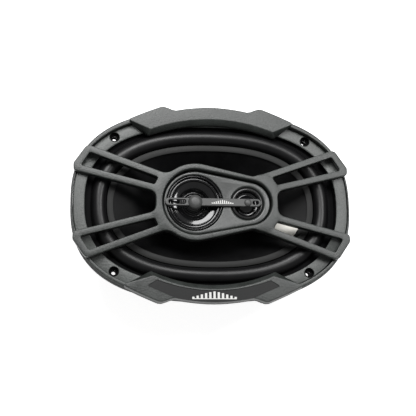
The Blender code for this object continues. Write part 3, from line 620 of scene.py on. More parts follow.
def outline_of(field, xs, ys, spacing):
    """Longest zero line of a field, counter-clockwise, with points this far apart."""
    inside = field < 0.0
    rows, cols = np.nonzero((inside[:-1, :-1] != inside[:-1, 1:]) | (inside[:-1, :-1] != inside[1:, :-1])
                            | (inside[1:, 1:] != inside[:-1, 1:]) | (inside[1:, 1:] != inside[1:, :-1]))
    links = {}
    spots = {}
    for i, j in zip(rows.tolist(), cols.tolist()):
        corners = ((i, j), (i, j + 1), (i + 1, j + 1), (i + 1, j))
        crossed = []
        for m in range(4):
            a = corners[m]
            b = corners[(m + 1) % 4]
            if inside[a] != inside[b]:
                key = (min(a, b), max(a, b))
                f = field[key[0]] / (field[key[0]] - field[key[1]])
                (ia, ja), (ib, jb) = key
                spots[key] = (xs[ja] + (xs[jb] - xs[ja]) * f, ys[ia] + (ys[ib] - ys[ia]) * f)
                crossed.append(key)
        for a, b in zip(crossed[0::2], crossed[1::2]):
            links.setdefault(a, []).append(b)
            links.setdefault(b, []).append(a)
    best = []
    left = set(links)
    while left:
        start = min(left)
        path = [start]
        left.discard(start)
        while True:
            onward = [key for key in links[path[-1]] if key in left]
            if not onward:
                break
            path.append(onward[0])
            left.discard(onward[0])
        if len(path) > len(best):
            best = path
    line = np.array([spots[key] for key in best])
    for _ in range(3):
        line = 0.25 * np.roll(line, 1, 0) + 0.5 * line + 0.25 * np.roll(line, -1, 0)
    shape = np.vstack((line, line[:1]))
    run = np.concatenate(([0.0], np.cumsum(np.hypot(*np.diff(shape, axis=0).T))))
    count = int(run[-1] / spacing)
    at = run[-1] * np.arange(count) / count
    points = np.column_stack((np.interp(at, run, shape[:, 0]), np.interp(at, run, shape[:, 1])))
    x, y = points.T
    if np.sum(x * np.roll(y, -1) - np.roll(x, -1) * y) < 0.0:
        points = points[::-1]
    return [tuple(p) for p in points]


def ease(value, low, high):
    """Smooth step from 0 at low to 1 at high."""
    t = min(max((value - low) / (high - low), 0.0), 1.0)
    return t * t * (3.0 - 2.0 * t)


def mix(a, b, f):
    return a + (b - a) * f


def drill_screws(target, profile, look, steps=40, sharp=32.0):
    """Cut this (r, z) profile out of the target at each of the four screws."""
    for sx in (-1.0, 1.0):
        for sy in (-1.0, 1.0):
            bore = lathe("bore", profile, look, steps, sx * SCREW_X, sy * SCREW_Y)
            combine(target, bore, "DIFFERENCE", sharp)


# ============================================================ attachments
def stand_for(obj, body, *nodes):
    """The piece rides on a body in place of these CAD nodes."""
    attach(obj, body)
    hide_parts(*nodes)
    return obj


def stretch(obj, node, share):
    """A piece between the frame and the cone: bakes its transform and hides the CAD node. share(x, y, z) is 0
    at the frame and 1 at the cone; the weights it gives are not used.
    """
    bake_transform(obj)
    weights = [share(v.co.x / MM, v.co.y / MM, v.co.z / MM) for v in obj.data.vertices]
    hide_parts(node)
    return obj


# ================================================================== grille
RIB_W = 5.4
SLOT_OUTER_HIGH = (102.9, 41.4)
SLOT_OUTER_LOW = (110.3, 29.9)
SLOT_INNER = {-1.0: ((46.2, 20.4), (49.4, 14.2)), 1.0: ((50.0, 21.9), (54.4, 15.6))}
UPPER_SHARE, UPPER_LIFT = 0.945, 1.7


def arc_between(x0, y0, y_mid, steps):
    """Points from (-x0, y0) to (x0, y0) bulging to y_mid."""
    sag = y_mid - y0
    radius = (x0 * x0 + sag * sag) / (2.0 * sag)
    points = []
    for k in range(steps + 1):
        x = -x0 + 2.0 * x0 * k / steps
        points.append((x, y_mid - radius + math.sqrt(radius * radius - x * x)))
    return points


def plate_outline(f, upper):
    """Outline of an end plate; f runs from 0 at its foot to 1 at its face. The upper one is shorter."""
    foot, face = ((54.0, 58.6), (52.3, 62.6)) if upper else ((52.0, 57.2), (50.2, 61.4))
    inner = arc_between(mix(foot[0], face[0], f), mix(foot[1], face[1], f), mix(68.6, 72.6, f), 48)
    drop = 1.1 * f
    shoulder = [(76.3, 70.2), (69.5, 73.6), (62.0, 77.2), (54.0, 80.7), (46.4, 83.9), (43.4, 84.1),
                (39.4, 82.9), (36.2, 81.6), (32.8, 81.0)]
    middle = [(27.4, 82.0), (22.0, 82.8), (16.5, 83.45), (11.0, 83.95), (5.5, 84.3), (0.0, 84.4)]
    if upper:
        shoulder = [(UPPER_SHARE * x, y + UPPER_LIFT * max((x - 46.0) / 30.3, 0.0)) for x, y in shoulder]
        middle = [(UPPER_SHARE * x, y) for x, y in middle]
    right = [(x - 0.45 * drop, y - drop) for x, y in shoulder + middle]
    return inner + right + [(-x, y) for x, y in right[-2::-1]]


def plate_stack(sign):
    upper = sign > 0.0
    mask = corner_mask(plate_outline(0.0, upper), 9.0)
    levels = ((0.0, 84.3, 0.3), (0.0, 84.6, 0.0), (0.0, 87.1, 0.0), (0.03, 87.5, 0.0), (0.12, 88.1, 0.0),
              (0.5, 89.85, 0.0), (0.88, 91.4, 0.0), (0.96, 91.72, 0.08), (1.0, 91.9, 0.26),
              (1.0, 91.98, 0.5), (1.0, PLATE_TOP, 0.8))
    stack = []
    for f, z, moved in levels:
        outline = inset(round_corners(plate_outline(f, upper), 3.0, 5, mask), moved)
        loop = [(x, sign * y, z) for x, y in outline]
        stack.append(loop if sign > 0.0 else loop[::-1])
    return stack


def in_quarter(corners, side, up, radius):
    """Counter-clockwise rounded loop in one quarter, from corners given for the +x, +y one."""
    corners = [(side * x, up * y) for x, y in corners]
    if side * up < 0.0:
        corners.reverse()
    return round_corners(corners, radius, 6)


def arm_slot(side, up):
    high, low = SLOT_INNER[side]
    return in_quarter([low, SLOT_OUTER_LOW, SLOT_OUTER_HIGH, high], side, up, 1.5)


def arm_outline(side, up):
    high_in, low_in = (Vector(p) for p in SLOT_INNER[side])
    high_out = Vector(SLOT_OUTER_HIGH)
    low_out = Vector(SLOT_OUTER_LOW)
    along_high = (high_out - high_in).normalized()
    along_low = (low_out - low_in).normalized()
    n_high = Vector((-along_high.y, along_high.x))
    n_low = Vector((along_low.y, -along_low.x))
    end = (high_out - low_out).normalized()
    n_end = Vector((end.y, -end.x))
    lower_inner = low_in + n_low * RIB_W - along_low * 8.0
    deep_low = lower_inner + Vector((-8.0, 0.5))
    corners = [
        lower_inner,
        low_out + n_low * RIB_W + along_low * 4.6,
        low_out + n_end * 6.2 - end * 1.6,
        high_out + n_end * 5.6 + end * 2.2,
        high_out + n_high * RIB_W + along_high * 2.4,
        high_in + n_high * RIB_W - along_high * 11.0,
        Vector((deep_low.x - 4.0, 17.5)),
        deep_low,
    ]
    return in_quarter(corners, side, up, 2.6)


def away_from_hub(x, y):
    """Distance outside the ring's outer wall, taken at its nearer circle or flank."""
    big = math.hypot(x - RING_BIG_X, y) - RING_BIG_R
    small = math.hypot(x - RING_SMALL_X, y) - RING_SMALL_R
    span = min(max((x - RING_BIG_X) / (RING_SMALL_X - RING_BIG_X), 0.0), 1.0)
    flank = abs(y) - mix(RING_BIG_R, RING_SMALL_R, span) if 0.0 < span < 1.0 else 1e9
    return min(big, small, flank)


def web_top(x, y):
    """Top of the ring and arms: level on the ring, falling outwards along the arms."""
    rib = 95.7 - 2.2 * min(max((abs(x) - 50.0) / 62.0, 0.0), 1.0)
    return mix(RING_TOP, rib, ease(away_from_hub(x, y), 0.0, 9.0))


def web_bottom(x, y):
    """Underside of the ring and arms."""
    rib = 87.2 + 1.1 * min(max((abs(x) - 55.0) / 35.0, 0.0), 1.0)
    return mix(86.4, rib, ease(away_from_hub(x, y), 0.0, 6.0))


def build_grille(looks):
    """Ring and arms from a filleted outline, joined to the skirt and the two end plates."""
    grid, spacing, side_fillet, arm_fillet = 0.5, 1.1, 3.0, 6.0
    xs = np.arange(-124.0, 124.01, grid)
    ys = np.arange(-60.0, 60.01, grid)
    gx, gy = np.meshgrid(xs, ys)
    field = polygon_distance(teardrop(RING_BIG_R, RING_SMALL_R), gx, gy)
    for x0, x1 in ((-47.6, -34.0), (40.0, 54.2)):
        web = [(x0, -14.0), (x1, -14.0), (x1, 14.0), (x0, 14.0)]
        field = soft_union(field, polygon_distance(web, gx, gy), side_fillet)
    slots = []
    for side in (-1.0, 1.0):
        for up in (-1.0, 1.0):
            field = soft_union(field, polygon_distance(arm_outline(side, up), gx, gy), arm_fillet)
            slots.append(arm_slot(side, up))
    outline = outline_of(field, xs, ys, spacing)
    stacks = [rounded_stack(outline, web_bottom, web_top, 0.8, 0.3)]
    for slot in slots:
        stacks.append(rounded_stack(slot, web_bottom, web_top, 0.55, 0.3, hole=True))
    hole = teardrop(27.9, 19.2)
    stacks.append(rounded_stack(hole, web_bottom, web_top, 1.3, 0.4, hole=True, steps=6))
    web = prism("web", stacks, looks["grille"])

    foot = (OUT_A - 1.8, OUT_B - 4.0, 2.5)
    rings = [inset_oval(d, z) for d, z in (
        (0.25, MOULDING_LOW), (0.0, 78.25), (0.0, 82.4), (0.0, 86.5), (0.12, 87.2), (0.42, 88.0),
        (0.8, 88.65), (1.0, 88.87), (1.3, 89.0))]
    rings += [oval_ring(foot[0] + grow, foot[1] + grow, foot[2], z)
              for grow, z in ((0.35, 89.0), (0.1, 88.9), (0.0, 88.65), (0.0, 83.0), (0.0, 78.25),
                              (0.2, MOULDING_LOW))]
    grille = loft_closed("grille_moulding", rings, looks["grille"])
    for sign in (1.0, -1.0):
        combine(grille, prism("plate", [plate_stack(sign)], looks["grille"]), "UNION")
    combine(grille, web, "UNION")

    inlay_right = [(55.4, 70.0), (33.4, 79.6), (31.6, 80.4), (30.6, 88.0)]
    inlay = arc_between(47.3, 64.9, 73.5, 40) + inlay_right + [(-x, y) for x, y in reversed(inlay_right)]
    recess = [(x, -y) for x, y in reversed(inlay)]
    recess = round_corners(recess, 0.8, 4, corner_mask(recess, 12.0))
    floor_z = PLATE_TOP - 0.6
    levels = ((0.25, floor_z), (0.0, PLATE_TOP - 0.05), (-0.15, PLATE_TOP + 3.0))
    loops = [[(x, y, z) for x, y in inset(recess, moved)] for moved, z in levels]
    combine(grille, prism("recess", [loops], looks["grille"]), "DIFFERENCE")
    grille.data.materials.append(looks["inlay"])
    grille.data.materials.append(looks["skirt"])
    for face in grille.data.polygons:
        centre = face.center / MM
        if abs(centre.z - floor_z) < 0.02 and centre.y < -60.0 and face.normal.z > 0.9:
            face.material_index = 1
        elif centre.z < 88.3 and abs(face.normal.z) < 0.5 and away_from_hub(centre.x, centre.y) > 20.0:
            if (abs(centre.x) / (OUT_A - 1.0)) ** OUT_N + (abs(centre.y) / (OUT_B - 1.0)) ** OUT_N > 1.0:
                face.material_index = 2
    stand_for(grille, "frame", "grille")


def build_badges(looks):
    """Rising bars on one base line, in place of any lettering."""
    heights = (2.0, 2.9, 3.9, 5.0, 5.8, 6.4, 5.8, 5.0, 3.9, 2.9, 2.0)
    pitch, width = 3.5, 1.9
    start = -0.5 * pitch * (len(heights) - 1)
    points = [(start - width / 2.0, 0.0), (-start + width / 2.0, 0.0)]
    for k in range(len(heights) - 1, -1, -1):
        x = start + pitch * k
        points += [(x + width / 2.0, heights[k]), (x - width / 2.0, heights[k])]
        if k > 0:
            points += [(x - width / 2.0, 0.7), (x - pitch + width / 2.0, 0.7)]
    places = (("lower_bars", "badge_bars", 1.0, 0.0, -80.9, PLATE_TOP - 0.5),
              ("centre_bars", "bar_badge", 0.5, 7.4, -1.5, 95.05))
    for name, node, scale, cx, y, z in places:
        placed = round_corners([(cx + x * scale, y + v * scale) for x, v in points], 0.25 * scale, 3)
        stack = [[(x, v, z + lift) for x, v in inset(placed, moved)]
                 for moved, lift in ((0.0, 0.0), (0.0, 0.18), (0.07, 0.25))]
        stand_for(prism(name, [stack], looks["print"]), "frame", node)


# ============================================================= front frame
def band_height(y):
    """Top of the front frame: low at the screw tabs, high at the two ends."""
    share = min(max((abs(y) - 28.0) / 15.0, 0.0), 1.0)
    return mix(88.0, 84.0, share)


def frame_inner(widen, z):
    """Inner edge of the front frame, opened out by widen."""
    d = 14.7 - widen
    return oval_ring(106.5 + widen, OUT_B - IN_B_RATE * d, OUT_N - IN_N_RATE * d, z)


def build_front_frame(looks):
    a, b, n = 116.2, 77.6, 2.5
    edge = oval_ring(a, b, n, MOULDING_LOW)
    crown, lip = 1.2, 0.7

    def raised(ring, drop):
        return [(x, y, band_height(ref[1]) - drop) for (x, y, _), ref in zip(ring, edge)]

    def outer_ring(grow, z):
        return oval_ring(a + grow, b + grow, n, z)

    rings = [frame_inner(0.3, 79.3), frame_inner(0.0, 79.6)]
    rings += [raised(frame_inner(crown * c, 0.0), crown * s) for s, c in quarter_turn(5)]
    rings += [raised(outer_ring(-lip * s, 0.0), lip * c) for s, c in quarter_turn(3)]
    rings += [outer_ring(grow, z) for grow, z in ((0.0, 80.0), (0.33, 79.6), (0.33, 78.1),
                                                  (0.2, MOULDING_LOW))]
    rings += [inset_oval(9.2, MOULDING_LOW), inset_oval(9.2, 79.3)]
    body = loft_closed("front_frame_moulding", rings, looks["frame"])
    profile = [(0.0, 70.0), (2.1, 70.0), (2.1, 79.4), (2.5, 80.0), (4.1, 80.0), (4.1, 83.5), (4.5, 84.05),
               (4.9, 90.0), (0.0, 90.0)]
    drill_screws(body, profile, looks["frame"])
    body.data.materials.append(looks["wall"])
    body.data.materials.append(looks["land"])
    for face in body.data.polygons:
        centre = face.center / MM
        inward = centre.x * face.normal.x + centre.y * face.normal.y < 0.0
        off_screw = math.hypot(abs(centre.x) - SCREW_X, abs(centre.y) - SCREW_Y)
        # Inward wall faces above the surround: gloss finish, darkened to near black as partly painted shade
        if inward and off_screw >= 5.5 and centre.z > 79.4 and face.normal.z < 0.6:
            face.material_index = 1
        # Screw recess faces: near black as painted shade
        elif off_screw < 4.3 and centre.z < 83.0:
            face.material_index = 2
    stand_for(body, "frame", "front_frame")


# ================================================================== basket
def build_basket(looks):
    """Pressed sheet: flange, windowed wall, spider shelf and motor cup, with a groove down each rib."""
    steps = 160
    rows = [("in", 2.6, 76.85), ("in", 3.2, 76.85), ("in", 17.6, 76.85), ("in", 18.5, 76.6)]
    rows += [("oval", (97.2, 61.6, 2.41, 70.6)), ("oval", (96.6, 61.4, 2.41, 69.4)),
             ("oval", (93.6, 60.7, 2.39, 66.2)), ("oval", (90.6, 60.0, 2.36, 63.0))]
    wall = ((90.0, 59.8, 2.36, 62.4), (74.0, 56.2, 2.22, 53.2), (56.0, 51.6, 2.05, 44.4),
            (49.2, 49.2, 2.0, 39.5))
    for low, high in zip(wall, wall[1:]):
        for k in range(4):
            rows.append(("oval", tuple(mix(p, q, k / 4.0) for p, q in zip(low, high))))
    rows.append(("oval", wall[-1]))
    first, last = 8, 18  # rings that the windows lie between
    for r, z in ((48.4, 39.45), (45.2, 39.5), (44.3, 39.2), (43.2, 38.2), (42.2, 36.8), (41.8, 32.0),
                 (41.4, 28.0), (40.9, 27.1), (39.8, 26.72), (30.0, 26.7), (20.6, 26.7), (20.0, 26.7)):
        rows.append(("oval", (r, r, 2.0, z)))
    rings = []
    for kind, *rest in rows:
        rings.append(inset_oval(*rest, steps) if kind == "in" else oval_ring(*rest[0], steps))
    cells, cycle, open_cells, groove = 40, 5, 3, 1.1  # each window is 3 cells wide and each rib 2
    per = steps // cells
    skip = set()
    for j in range(steps):
        if (j // per + 2) % cycle < open_cells:
            skip.update((i, j) for i in range(first, last))
    grooved = []
    for i, ring in enumerate(rings):
        fade = ease(i, first - 4, first) * (1.0 - ease(i, last, last + 3))
        row = []
        for j, (x, y, z) in enumerate(ring):
            across = abs((j / per + 2.0) % cycle - 4.0)
            dent = groove * fade * (1.0 - ease(across, 0.15, 0.6)) if across < 1.0 else 0.0
            away = math.hypot(x, y)
            row.append((x * (1.0 + dent / away), y * (1.0 + dent / away), z - 0.4 * dent))
        grooved.append(row)
    basket = sheet("pressed_basket", grooved, 1.5, looks["basket"], skip, sharp=40.0)
    profile = [(0.0, 70.0), (2.1, 70.0), (2.1, 82.0), (0.0, 82.0)]
    drill_screws(basket, profile, looks["basket"], sharp=40.0)
    stand_for(basket, "frame", "basket")


def build_gasket(looks):
    """Foam ring under the flange, with rounded edges and a punched hole at each screw."""
    rings = []
    for edge, turn in ((3.0, 1.0), (16.5, -1.0)):
        corners = ((71.0, 0.9), (71.26, 0.26), (71.9, 0.0), (74.9, 0.0), (75.54, 0.26), (75.8, 0.9))
        line = [inset_oval(edge + turn * moved, z) for z, moved in corners]
        rings += line if turn > 0.0 else line[::-1]
    gasket = loft_closed("foam_gasket", rings, looks["foam"])
    drill_screws(gasket, [(0.0, 69.0), (1.7, 69.0), (1.7, 78.0), (0.0, 78.0)], looks["foam"], 32)
    stand_for(gasket, "frame", "flange_gasket")


# =================================================================== motor
def build_motor(looks):
    """Yoke, ferrite ring, front plate, and the winding as a stack of turns."""
    yoke = [(4.4, 3.4), (8.4, 3.4), (8.4, 0.0), (41.0, 0.0), (42.0, 1.0), (42.0, 5.0), (14.0, 5.0),
            (14.0, 25.2), (13.2, 26.0), (4.4, 26.0)]
    stand_for(lathe("motor_yoke", yoke, looks["steel"], radius=0.4), "frame", "yoke_and_pole")
    magnet = [(23.0, 5.3), (44.0, 5.3), (45.0, 6.3), (45.0, 19.3), (44.0, 20.3), (23.0, 20.3)]
    stand_for(lathe("ferrite_ring", magnet, looks["ferrite"], radius=0.5), "frame", "magnet_ring")
    plate = [(16.8, 20.6), (42.0, 20.6), (42.0, 25.6), (16.8, 25.6)]
    stand_for(lathe("front_plate", plate, looks["steel"], radius=0.6), "frame", "magnet_top_plate")
    low, height, turns, inner_r = 17.6, 12.0, 30, 15.5
    winding = [(inner_r, low)]
    for k in range(turns):
        z = low + height * (k + 0.5) / turns
        winding += [(16.0, z - 0.19), (16.18, z - 0.08), (16.18, z + 0.08), (16.0, z + 0.19)]
    winding.append((inner_r, 29.6))
    coil = lathe("coil_winding", winding, looks["copper"], 64)
    stand_for(coil, "woofer", "voice_coil_winding")


# ============================================================ woofer parts
def build_cone(looks):
    rings = [oval_ring(16.1, 16.1, 2.0, z) for z in (44.6, 45.6, 46.4)]
    body = smooth_line([(16.3, 16.3, 2.0, 46.9), *CONE_ROWS])
    rings += [oval_ring(*row) for row in [*body[:-1], CONE_ROWS[-1]]]
    rings += [inset_oval(33.4, 79.28), inset_oval(32.0, 79.3), inset_oval(30.5, 79.3)]
    stand_for(sheet("paper_cone", rings, 0.8, looks["cone"]), "woofer", "woofer_cone")
    section = ((35.6, 80.05), (35.5, 80.0), (30.5, 80.0), (30.4, 80.1), (30.45, 80.5), (30.7, 80.6),
               (35.1, 80.6), (35.45, 80.45))
    ring = [inset_oval(d, z) for d, z in section]
    stand_for(loft_closed("cone_trim", ring, looks["trim"]), "woofer", "cone_edge_ring")


def build_slot_reflection(looks):
    """White patch following the cone, with rounded corners: a painted reflection of the lamp, seen through
    the lower right slot.
    """
    rows, columns = 25, 17
    first_a, last_a = 60.0, 79.0
    length, width, turn = last_a - first_a, 17.0, 15.0
    corner = 2.0
    rings = []
    for i in range(rows):
        u = i / (rows - 1)
        size = mix(first_a, last_a, u)
        for low, high in zip(CONE_ROWS, CONE_ROWS[1:]):
            if size <= high[0]:
                break
        f = (size - low[0]) / (high[0] - low[0])
        a, b, n, z = (mix(p, q, f) for p, q in zip(low, high))
        edge = min(u, 1.0 - u) * length
        round_in = corner - math.sqrt(max(corner ** 2 - (corner - edge) ** 2, 0.0)) if edge < corner else 0.0
        shrink = round_in / width * turn
        turns = [mix(-30.0 + shrink, -15.0 - shrink, j / (columns - 1)) for j in range(columns)]
        rings.append([(*oval_point(a, b, n, math.radians(t)), z + 0.95) for t in turns])
    stand_for(sheet("painted_reflection_patch", rings, 0.25, looks["paper"], closed=False), "woofer", "cone_label")


def oval_depth(x, y):
    """How far in from the outline a point lies, for the oval family, by bisection."""
    low, high = 0.0, 60.0
    for _ in range(30):
        d = 0.5 * (low + high)
        n = OUT_N - IN_N_RATE * d
        inside = (abs(x) / (OUT_A - d)) ** n + (abs(y) / (OUT_B - IN_B_RATE * d)) ** n < 1.0
        low, high = (d, high) if inside else (low, d)
    return 0.5 * (low + high)


def build_surround(looks):
    """Rubber half roll between the flange and the cone edge, with a land on each side."""
    rings = [inset_oval(10.0, 78.5), inset_oval(13.0, 78.5), inset_oval(16.4, 78.5), inset_oval(17.1, 78.7)]
    steps = 18
    for k in range(steps + 1):
        t = math.pi * k / steps
        rings.append(inset_oval(ROLL_MIDDLE - ROLL_HALF_WIDTH * math.cos(t),
                                ROLL_LOW + ROLL_HEIGHT * math.sin(t)))
    rings += [inset_oval(29.6, 78.5), inset_oval(30.1, 78.15), inset_oval(32.0, 78.0), inset_oval(33.8, 77.9)]
    roll = sheet("rubber_surround", rings, 0.8, looks["rubber"], sharp=60.0)
    roll.data.materials.append(looks["land"])
    # Lands under the frame's edge and under the trim ring: near black as painted shade
    for face in roll.data.polygons:
        depth = oval_depth(face.center.x / MM, face.center.y / MM)
        if depth < 17.0 or depth > 29.9:
            face.material_index = 1
    stretch(roll, "surround", lambda x, y, z: ease(oval_depth(x, y), 16.6, 30.0))


def build_spider(looks):
    """Corrugated cloth disc: seven half waves between a flat rim and a flat collar."""
    line = [(r, SPIDER_Z) for r in (48.2, 46.4, SPIDER_OUTER_R)]
    half_waves, steps, rise, height = 7, 84, 0.4, 1.3
    for k in range(1, steps):
        r = SPIDER_OUTER_R - (SPIDER_OUTER_R - SPIDER_INNER_R) * k / steps
        t = 2.0 * math.pi * half_waves * k / steps * 0.5
        fade = min(k, steps - k, 6) / 6.0
        line.append((r, SPIDER_Z + rise * k / steps + height * fade * math.sin(t)))
    line += [(r, SPIDER_Z + rise) for r in (SPIDER_INNER_R, 17.2, 16.0)]
    rings = [circle_ring(r, z, ROUND_STEPS) for r, z in line]
    disc = sheet("cloth_spider", rings, 0.6, looks["spider"], sharp=60.0)
    stretch(disc, "spider", lambda x, y, z: 1.0 - ease(math.hypot(x, y), 17.5, SPIDER_OUTER_R))


def build_leads(looks):
    """Braided leads from the basket to the cone's neck, on the CAD's route."""
    steps, sides, sag = 48, 12, 7.0
    wide, narrow = 0.6, 0.53
    for name, node, x, tip in (("braided_lead_positive", "tinsel_lead_positive", -16.0, -8.0),
                               ("braided_lead_negative", "tinsel_lead_negative", -4.0, 3.0)):
        start = Vector((x, -57.5, 56.0))
        end = Vector((tip, -22.0, 49.6))
        path = []
        for k in range(steps + 1):
            p = start.lerp(end, k / steps)
            path.append(Vector((p.x, p.y, p.z - sag * math.sin(math.pi * (k / steps)))))
        verts = []
        for k, here in enumerate(path):
            ahead = (path[min(k + 1, steps)] - path[max(k - 1, 0)]).normalized()
            side = ahead.cross(Vector((1.0, 0.0, 0.0))).normalized()
            up = side.cross(ahead)
            for j in range(sides):
                t = 2.0 * math.pi * j / sides
                r = wide if j % 2 == k % 2 else narrow
                verts.append(tuple(here + side * (r * math.cos(t)) + up * (r * math.sin(t))))
        faces = []
        for i in range(steps):
            faces += band_faces(i * sides, (i + 1) * sides, sides)
        faces.append(tuple(range(sides)))
        faces.append(tuple(steps * sides + j for j in range(sides)))
        lead = add_object(name, verts, faces, looks["braid"], sharp=70.0)
        stretch(lead, node, lambda px, py, pz: 1.0 - ease(-py, 22.5, 56.0))


# ===================================================================== pod
def build_pod(looks):
    walls = rounded_stack(teardrop(27.1, 18.4), 75.7, POD_TOP, 1.4, 0.3, steps=6)
    housing = prism("pod_shell", [walls], looks["pod"])
    cavity = [[(x, y, z) for x, y in teardrop(25.1, 16.4)] for z in (73.7, 89.6)]
    combine(housing, prism("cavity", [cavity], looks["pod"]), "DIFFERENCE")
    for cx, r, lip in ((MID_X, 23.8, 0.9), (TWEETER_X, 13.8, 1.8)):
        profile = [(0.0, 84.0), (r, 84.0)]
        profile += [(r + lip * c, POD_TOP - lip * s) for s, c in quarter_turn(6)]
        profile += [(r + lip, 96.0), (0.0, 96.0)]
        combine(housing, lathe("opening", profile, looks["pod"], ROUND_STEPS, cx), "DIFFERENCE")
    stand_for(housing, "frame", "pod_housing")
    post = [(2.0, 4.0), (4.0, 4.0), (4.0, 70.0), (7.5, 71.6), (7.5, 72.6), (2.0, 72.6)]
    stand_for(lathe("mounting_post", post, looks["plain_steel"], 64, radius=0.3), "frame", "pod_post")


def build_phase_bar(looks):
    """Bar with a slot at each end and a turned plug in front of each driver."""
    low, high, end_r = 92.3, 94.8, 3.3
    outline = []
    for cx, start in ((37.1, -90.0), (-37.4, 90.0)):
        for k in range(17):
            t = math.radians(start + 180.0 * k / 16.0)
            outline.append((cx + end_r * math.cos(t), end_r * math.sin(t)))
    stacks = [rounded_stack(outline, low, high, 0.6, 0.3)]
    for x0, x1, w in ((-37.8, -23.0, 1.9), (33.0, 38.4, 1.6)):
        slot = round_corners([(x0, -w), (x1, -w), (x1, w), (x0, w)], w * 0.9, 8)
        stacks.append(rounded_stack(slot, low, high, 0.35, 0.2, hole=True))
    bar = prism("driver_bar", stacks, looks["bar"])
    big = [(0.0, 86.0), (2.6, 86.3), (4.2, 87.2), (5.6, 89.0), (6.2, 91.0), (6.3, 92.6), (6.2, 93.9),
           (5.5, 95.6), (3.6, 96.9), (1.6, 97.25), (0.0, 97.3)]
    small = [(0.0, 90.6), (1.2, 90.65), (2.3, 91.0), (3.3, 91.9), (3.6, 93.2), (3.3, 94.6), (2.5, 95.8),
             (1.2, 96.3), (0.0, 96.4)]
    for line, cx in ((big, MID_X), (small, TWEETER_X)):
        profile = [(max(r, 0.0), z) for r, z in smooth_line(line, 4)]
        combine(bar, lathe("plug", profile, looks["bar"], 64, cx), "UNION")
    stand_for(bar, "frame", "phase_bar")


def build_midrange(looks):
    """Bezel, and a cone with a dome, three ridges, a flare and a half roll."""
    bezel = [(21.6, 87.0), (23.5, 87.0), (23.5, 90.6), (23.1, 91.3), (22.6, 91.5), (22.1, 91.2), (21.7, 90.3)]
    bezel = lathe("midrange_bezel", bezel, looks["gloss"], cx=MID_X, radius=0.3)
    stand_for(bezel, "frame", "mid_bezel")
    line = smooth_line([(0.0, 84.2), (3.6, 83.8), (5.6, 82.9)])
    for k in range(1, 25):
        f = k / 24.0
        line.append((mix(5.6, 11.4, f), 82.9 + 0.9 * f + 0.42 * math.sin(2.0 * math.pi * 3.0 * f)))
    flare = [(12.0, 84.6), (12.8, 85.7), (14.2, 86.7), (16.0, 87.25), (17.6, 87.6), (18.6, 87.95)]
    line += smooth_line(flare, 5)
    for k in range(1, 15):
        t = math.pi * k / 14.0
        line.append((20.1 - 1.1 * math.cos(t), 88.1 + 0.9 * t / math.pi + 0.8 * math.sin(t)))
    cone = lathe("midrange_cone", thick_profile(line, 0.5), looks["gloss"], cx=MID_X, sharp=60.0)
    stand_for(cone, "midrange", "mid_cone")


def build_tweeter(looks):
    bezel = [(13.5, 87.0), (13.5, 90.8), (13.2, 91.4), (12.6, 91.75), (12.0, 91.8), (11.5, 91.5),
             (11.1, 90.6), (10.8, 89.3), (10.6, 88.0), (10.5, 87.0)]
    bezel = lathe("tweeter_waveguide", bezel, looks["bezel"], cx=TWEETER_X)
    stand_for(bezel, "frame", "tweeter_bezel")
    dome = [(0.0, 89.6), (1.8, 89.5), (3.6, 89.1), (5.2, 88.4), (6.6, 87.4), (7.5, 86.5), (7.9, 86.15)]
    line = smooth_line(dome, 4) + smooth_line([(8.3, 86.05), (8.9, 86.1), (9.5, 86.25), (10.1, 86.55)], 3)
    dome = lathe("dome_tweeter", thick_profile(line, 0.36), looks["gloss"], cx=TWEETER_X, sharp=60.0)
    stand_for(dome, "tweeter", "tweeter_dome")


# ================================================= terminals and capacitors
def node_axes(node):
    """Middle of a CAD solid in metres, its axes, longest first, and its half sizes in millimetres."""
    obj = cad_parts[node]
    points = np.array([obj.matrix_world @ v.co for v in obj.data.vertices])
    centre = 0.5 * (points.min(axis=0) + points.max(axis=0))
    _, axes = np.linalg.eigh(np.cov((points - points.mean(axis=0)).T))
    axes = axes.T[::-1]
    spans = (points - centre) @ axes.T
    centre = centre + 0.5 * (spans.min(axis=0) + spans.max(axis=0)) @ axes
    return Vector(centre), [Vector(a) for a in axes], 0.5 * (spans.max(axis=0) - spans.min(axis=0)) / MM


def put(obj, centre, across, along):
    """Move a mesh so that its x and y lie along these directions."""
    normal = across.cross(along).normalized()
    rows = [[across[k], along[k], normal[k], centre[k]] for k in range(3)]
    obj.data.transform(Matrix(rows + [[0.0, 0.0, 0.0, 1.0]]))
    return obj


def build_terminals(looks):
    """Rounded fibre board and two blades with a chamfered tip and a hole."""
    centre, axes, half = node_axes("terminal_board")
    corners = [(-half[0], -half[1]), (half[0], -half[1]), (half[0], half[1]), (-half[0], half[1])]
    walls = rounded_stack(round_corners(corners, 1.6, 6), -half[2], half[2], 0.3, 0.3)
    board = prism("fibre_board", [walls], looks["board"])
    stand_for(put(board, centre, axes[0], axes[1]), "frame", "terminal_board")
    for pole in ("positive", "negative"):
        node = "terminal_" + pole
        centre, axes, half = node_axes(node)
        up = axes[0] if axes[0].z > 0.0 else -axes[0]
        w, length = half[1], half[0]
        corners = [(-w + 1.1, -length), (w - 1.1, -length), (w, -length + 1.7), (w, length), (-w, length),
                   (-w, -length + 1.7)]
        stacks = [rounded_stack(round_corners(corners, 0.3, 3), -half[2], half[2], 0.15, 0.15)]
        hole = [(x, y - length + 4.6) for x, y, _ in circle_ring(0.9, 0.0, 24)]
        stacks.append(rounded_stack(hole, -half[2], half[2], 0.1, 0.1, hole=True))
        blade = prism("blade_" + pole, stacks, looks["brass"])
        stand_for(put(blade, centre, axes[1], up), "frame", node)


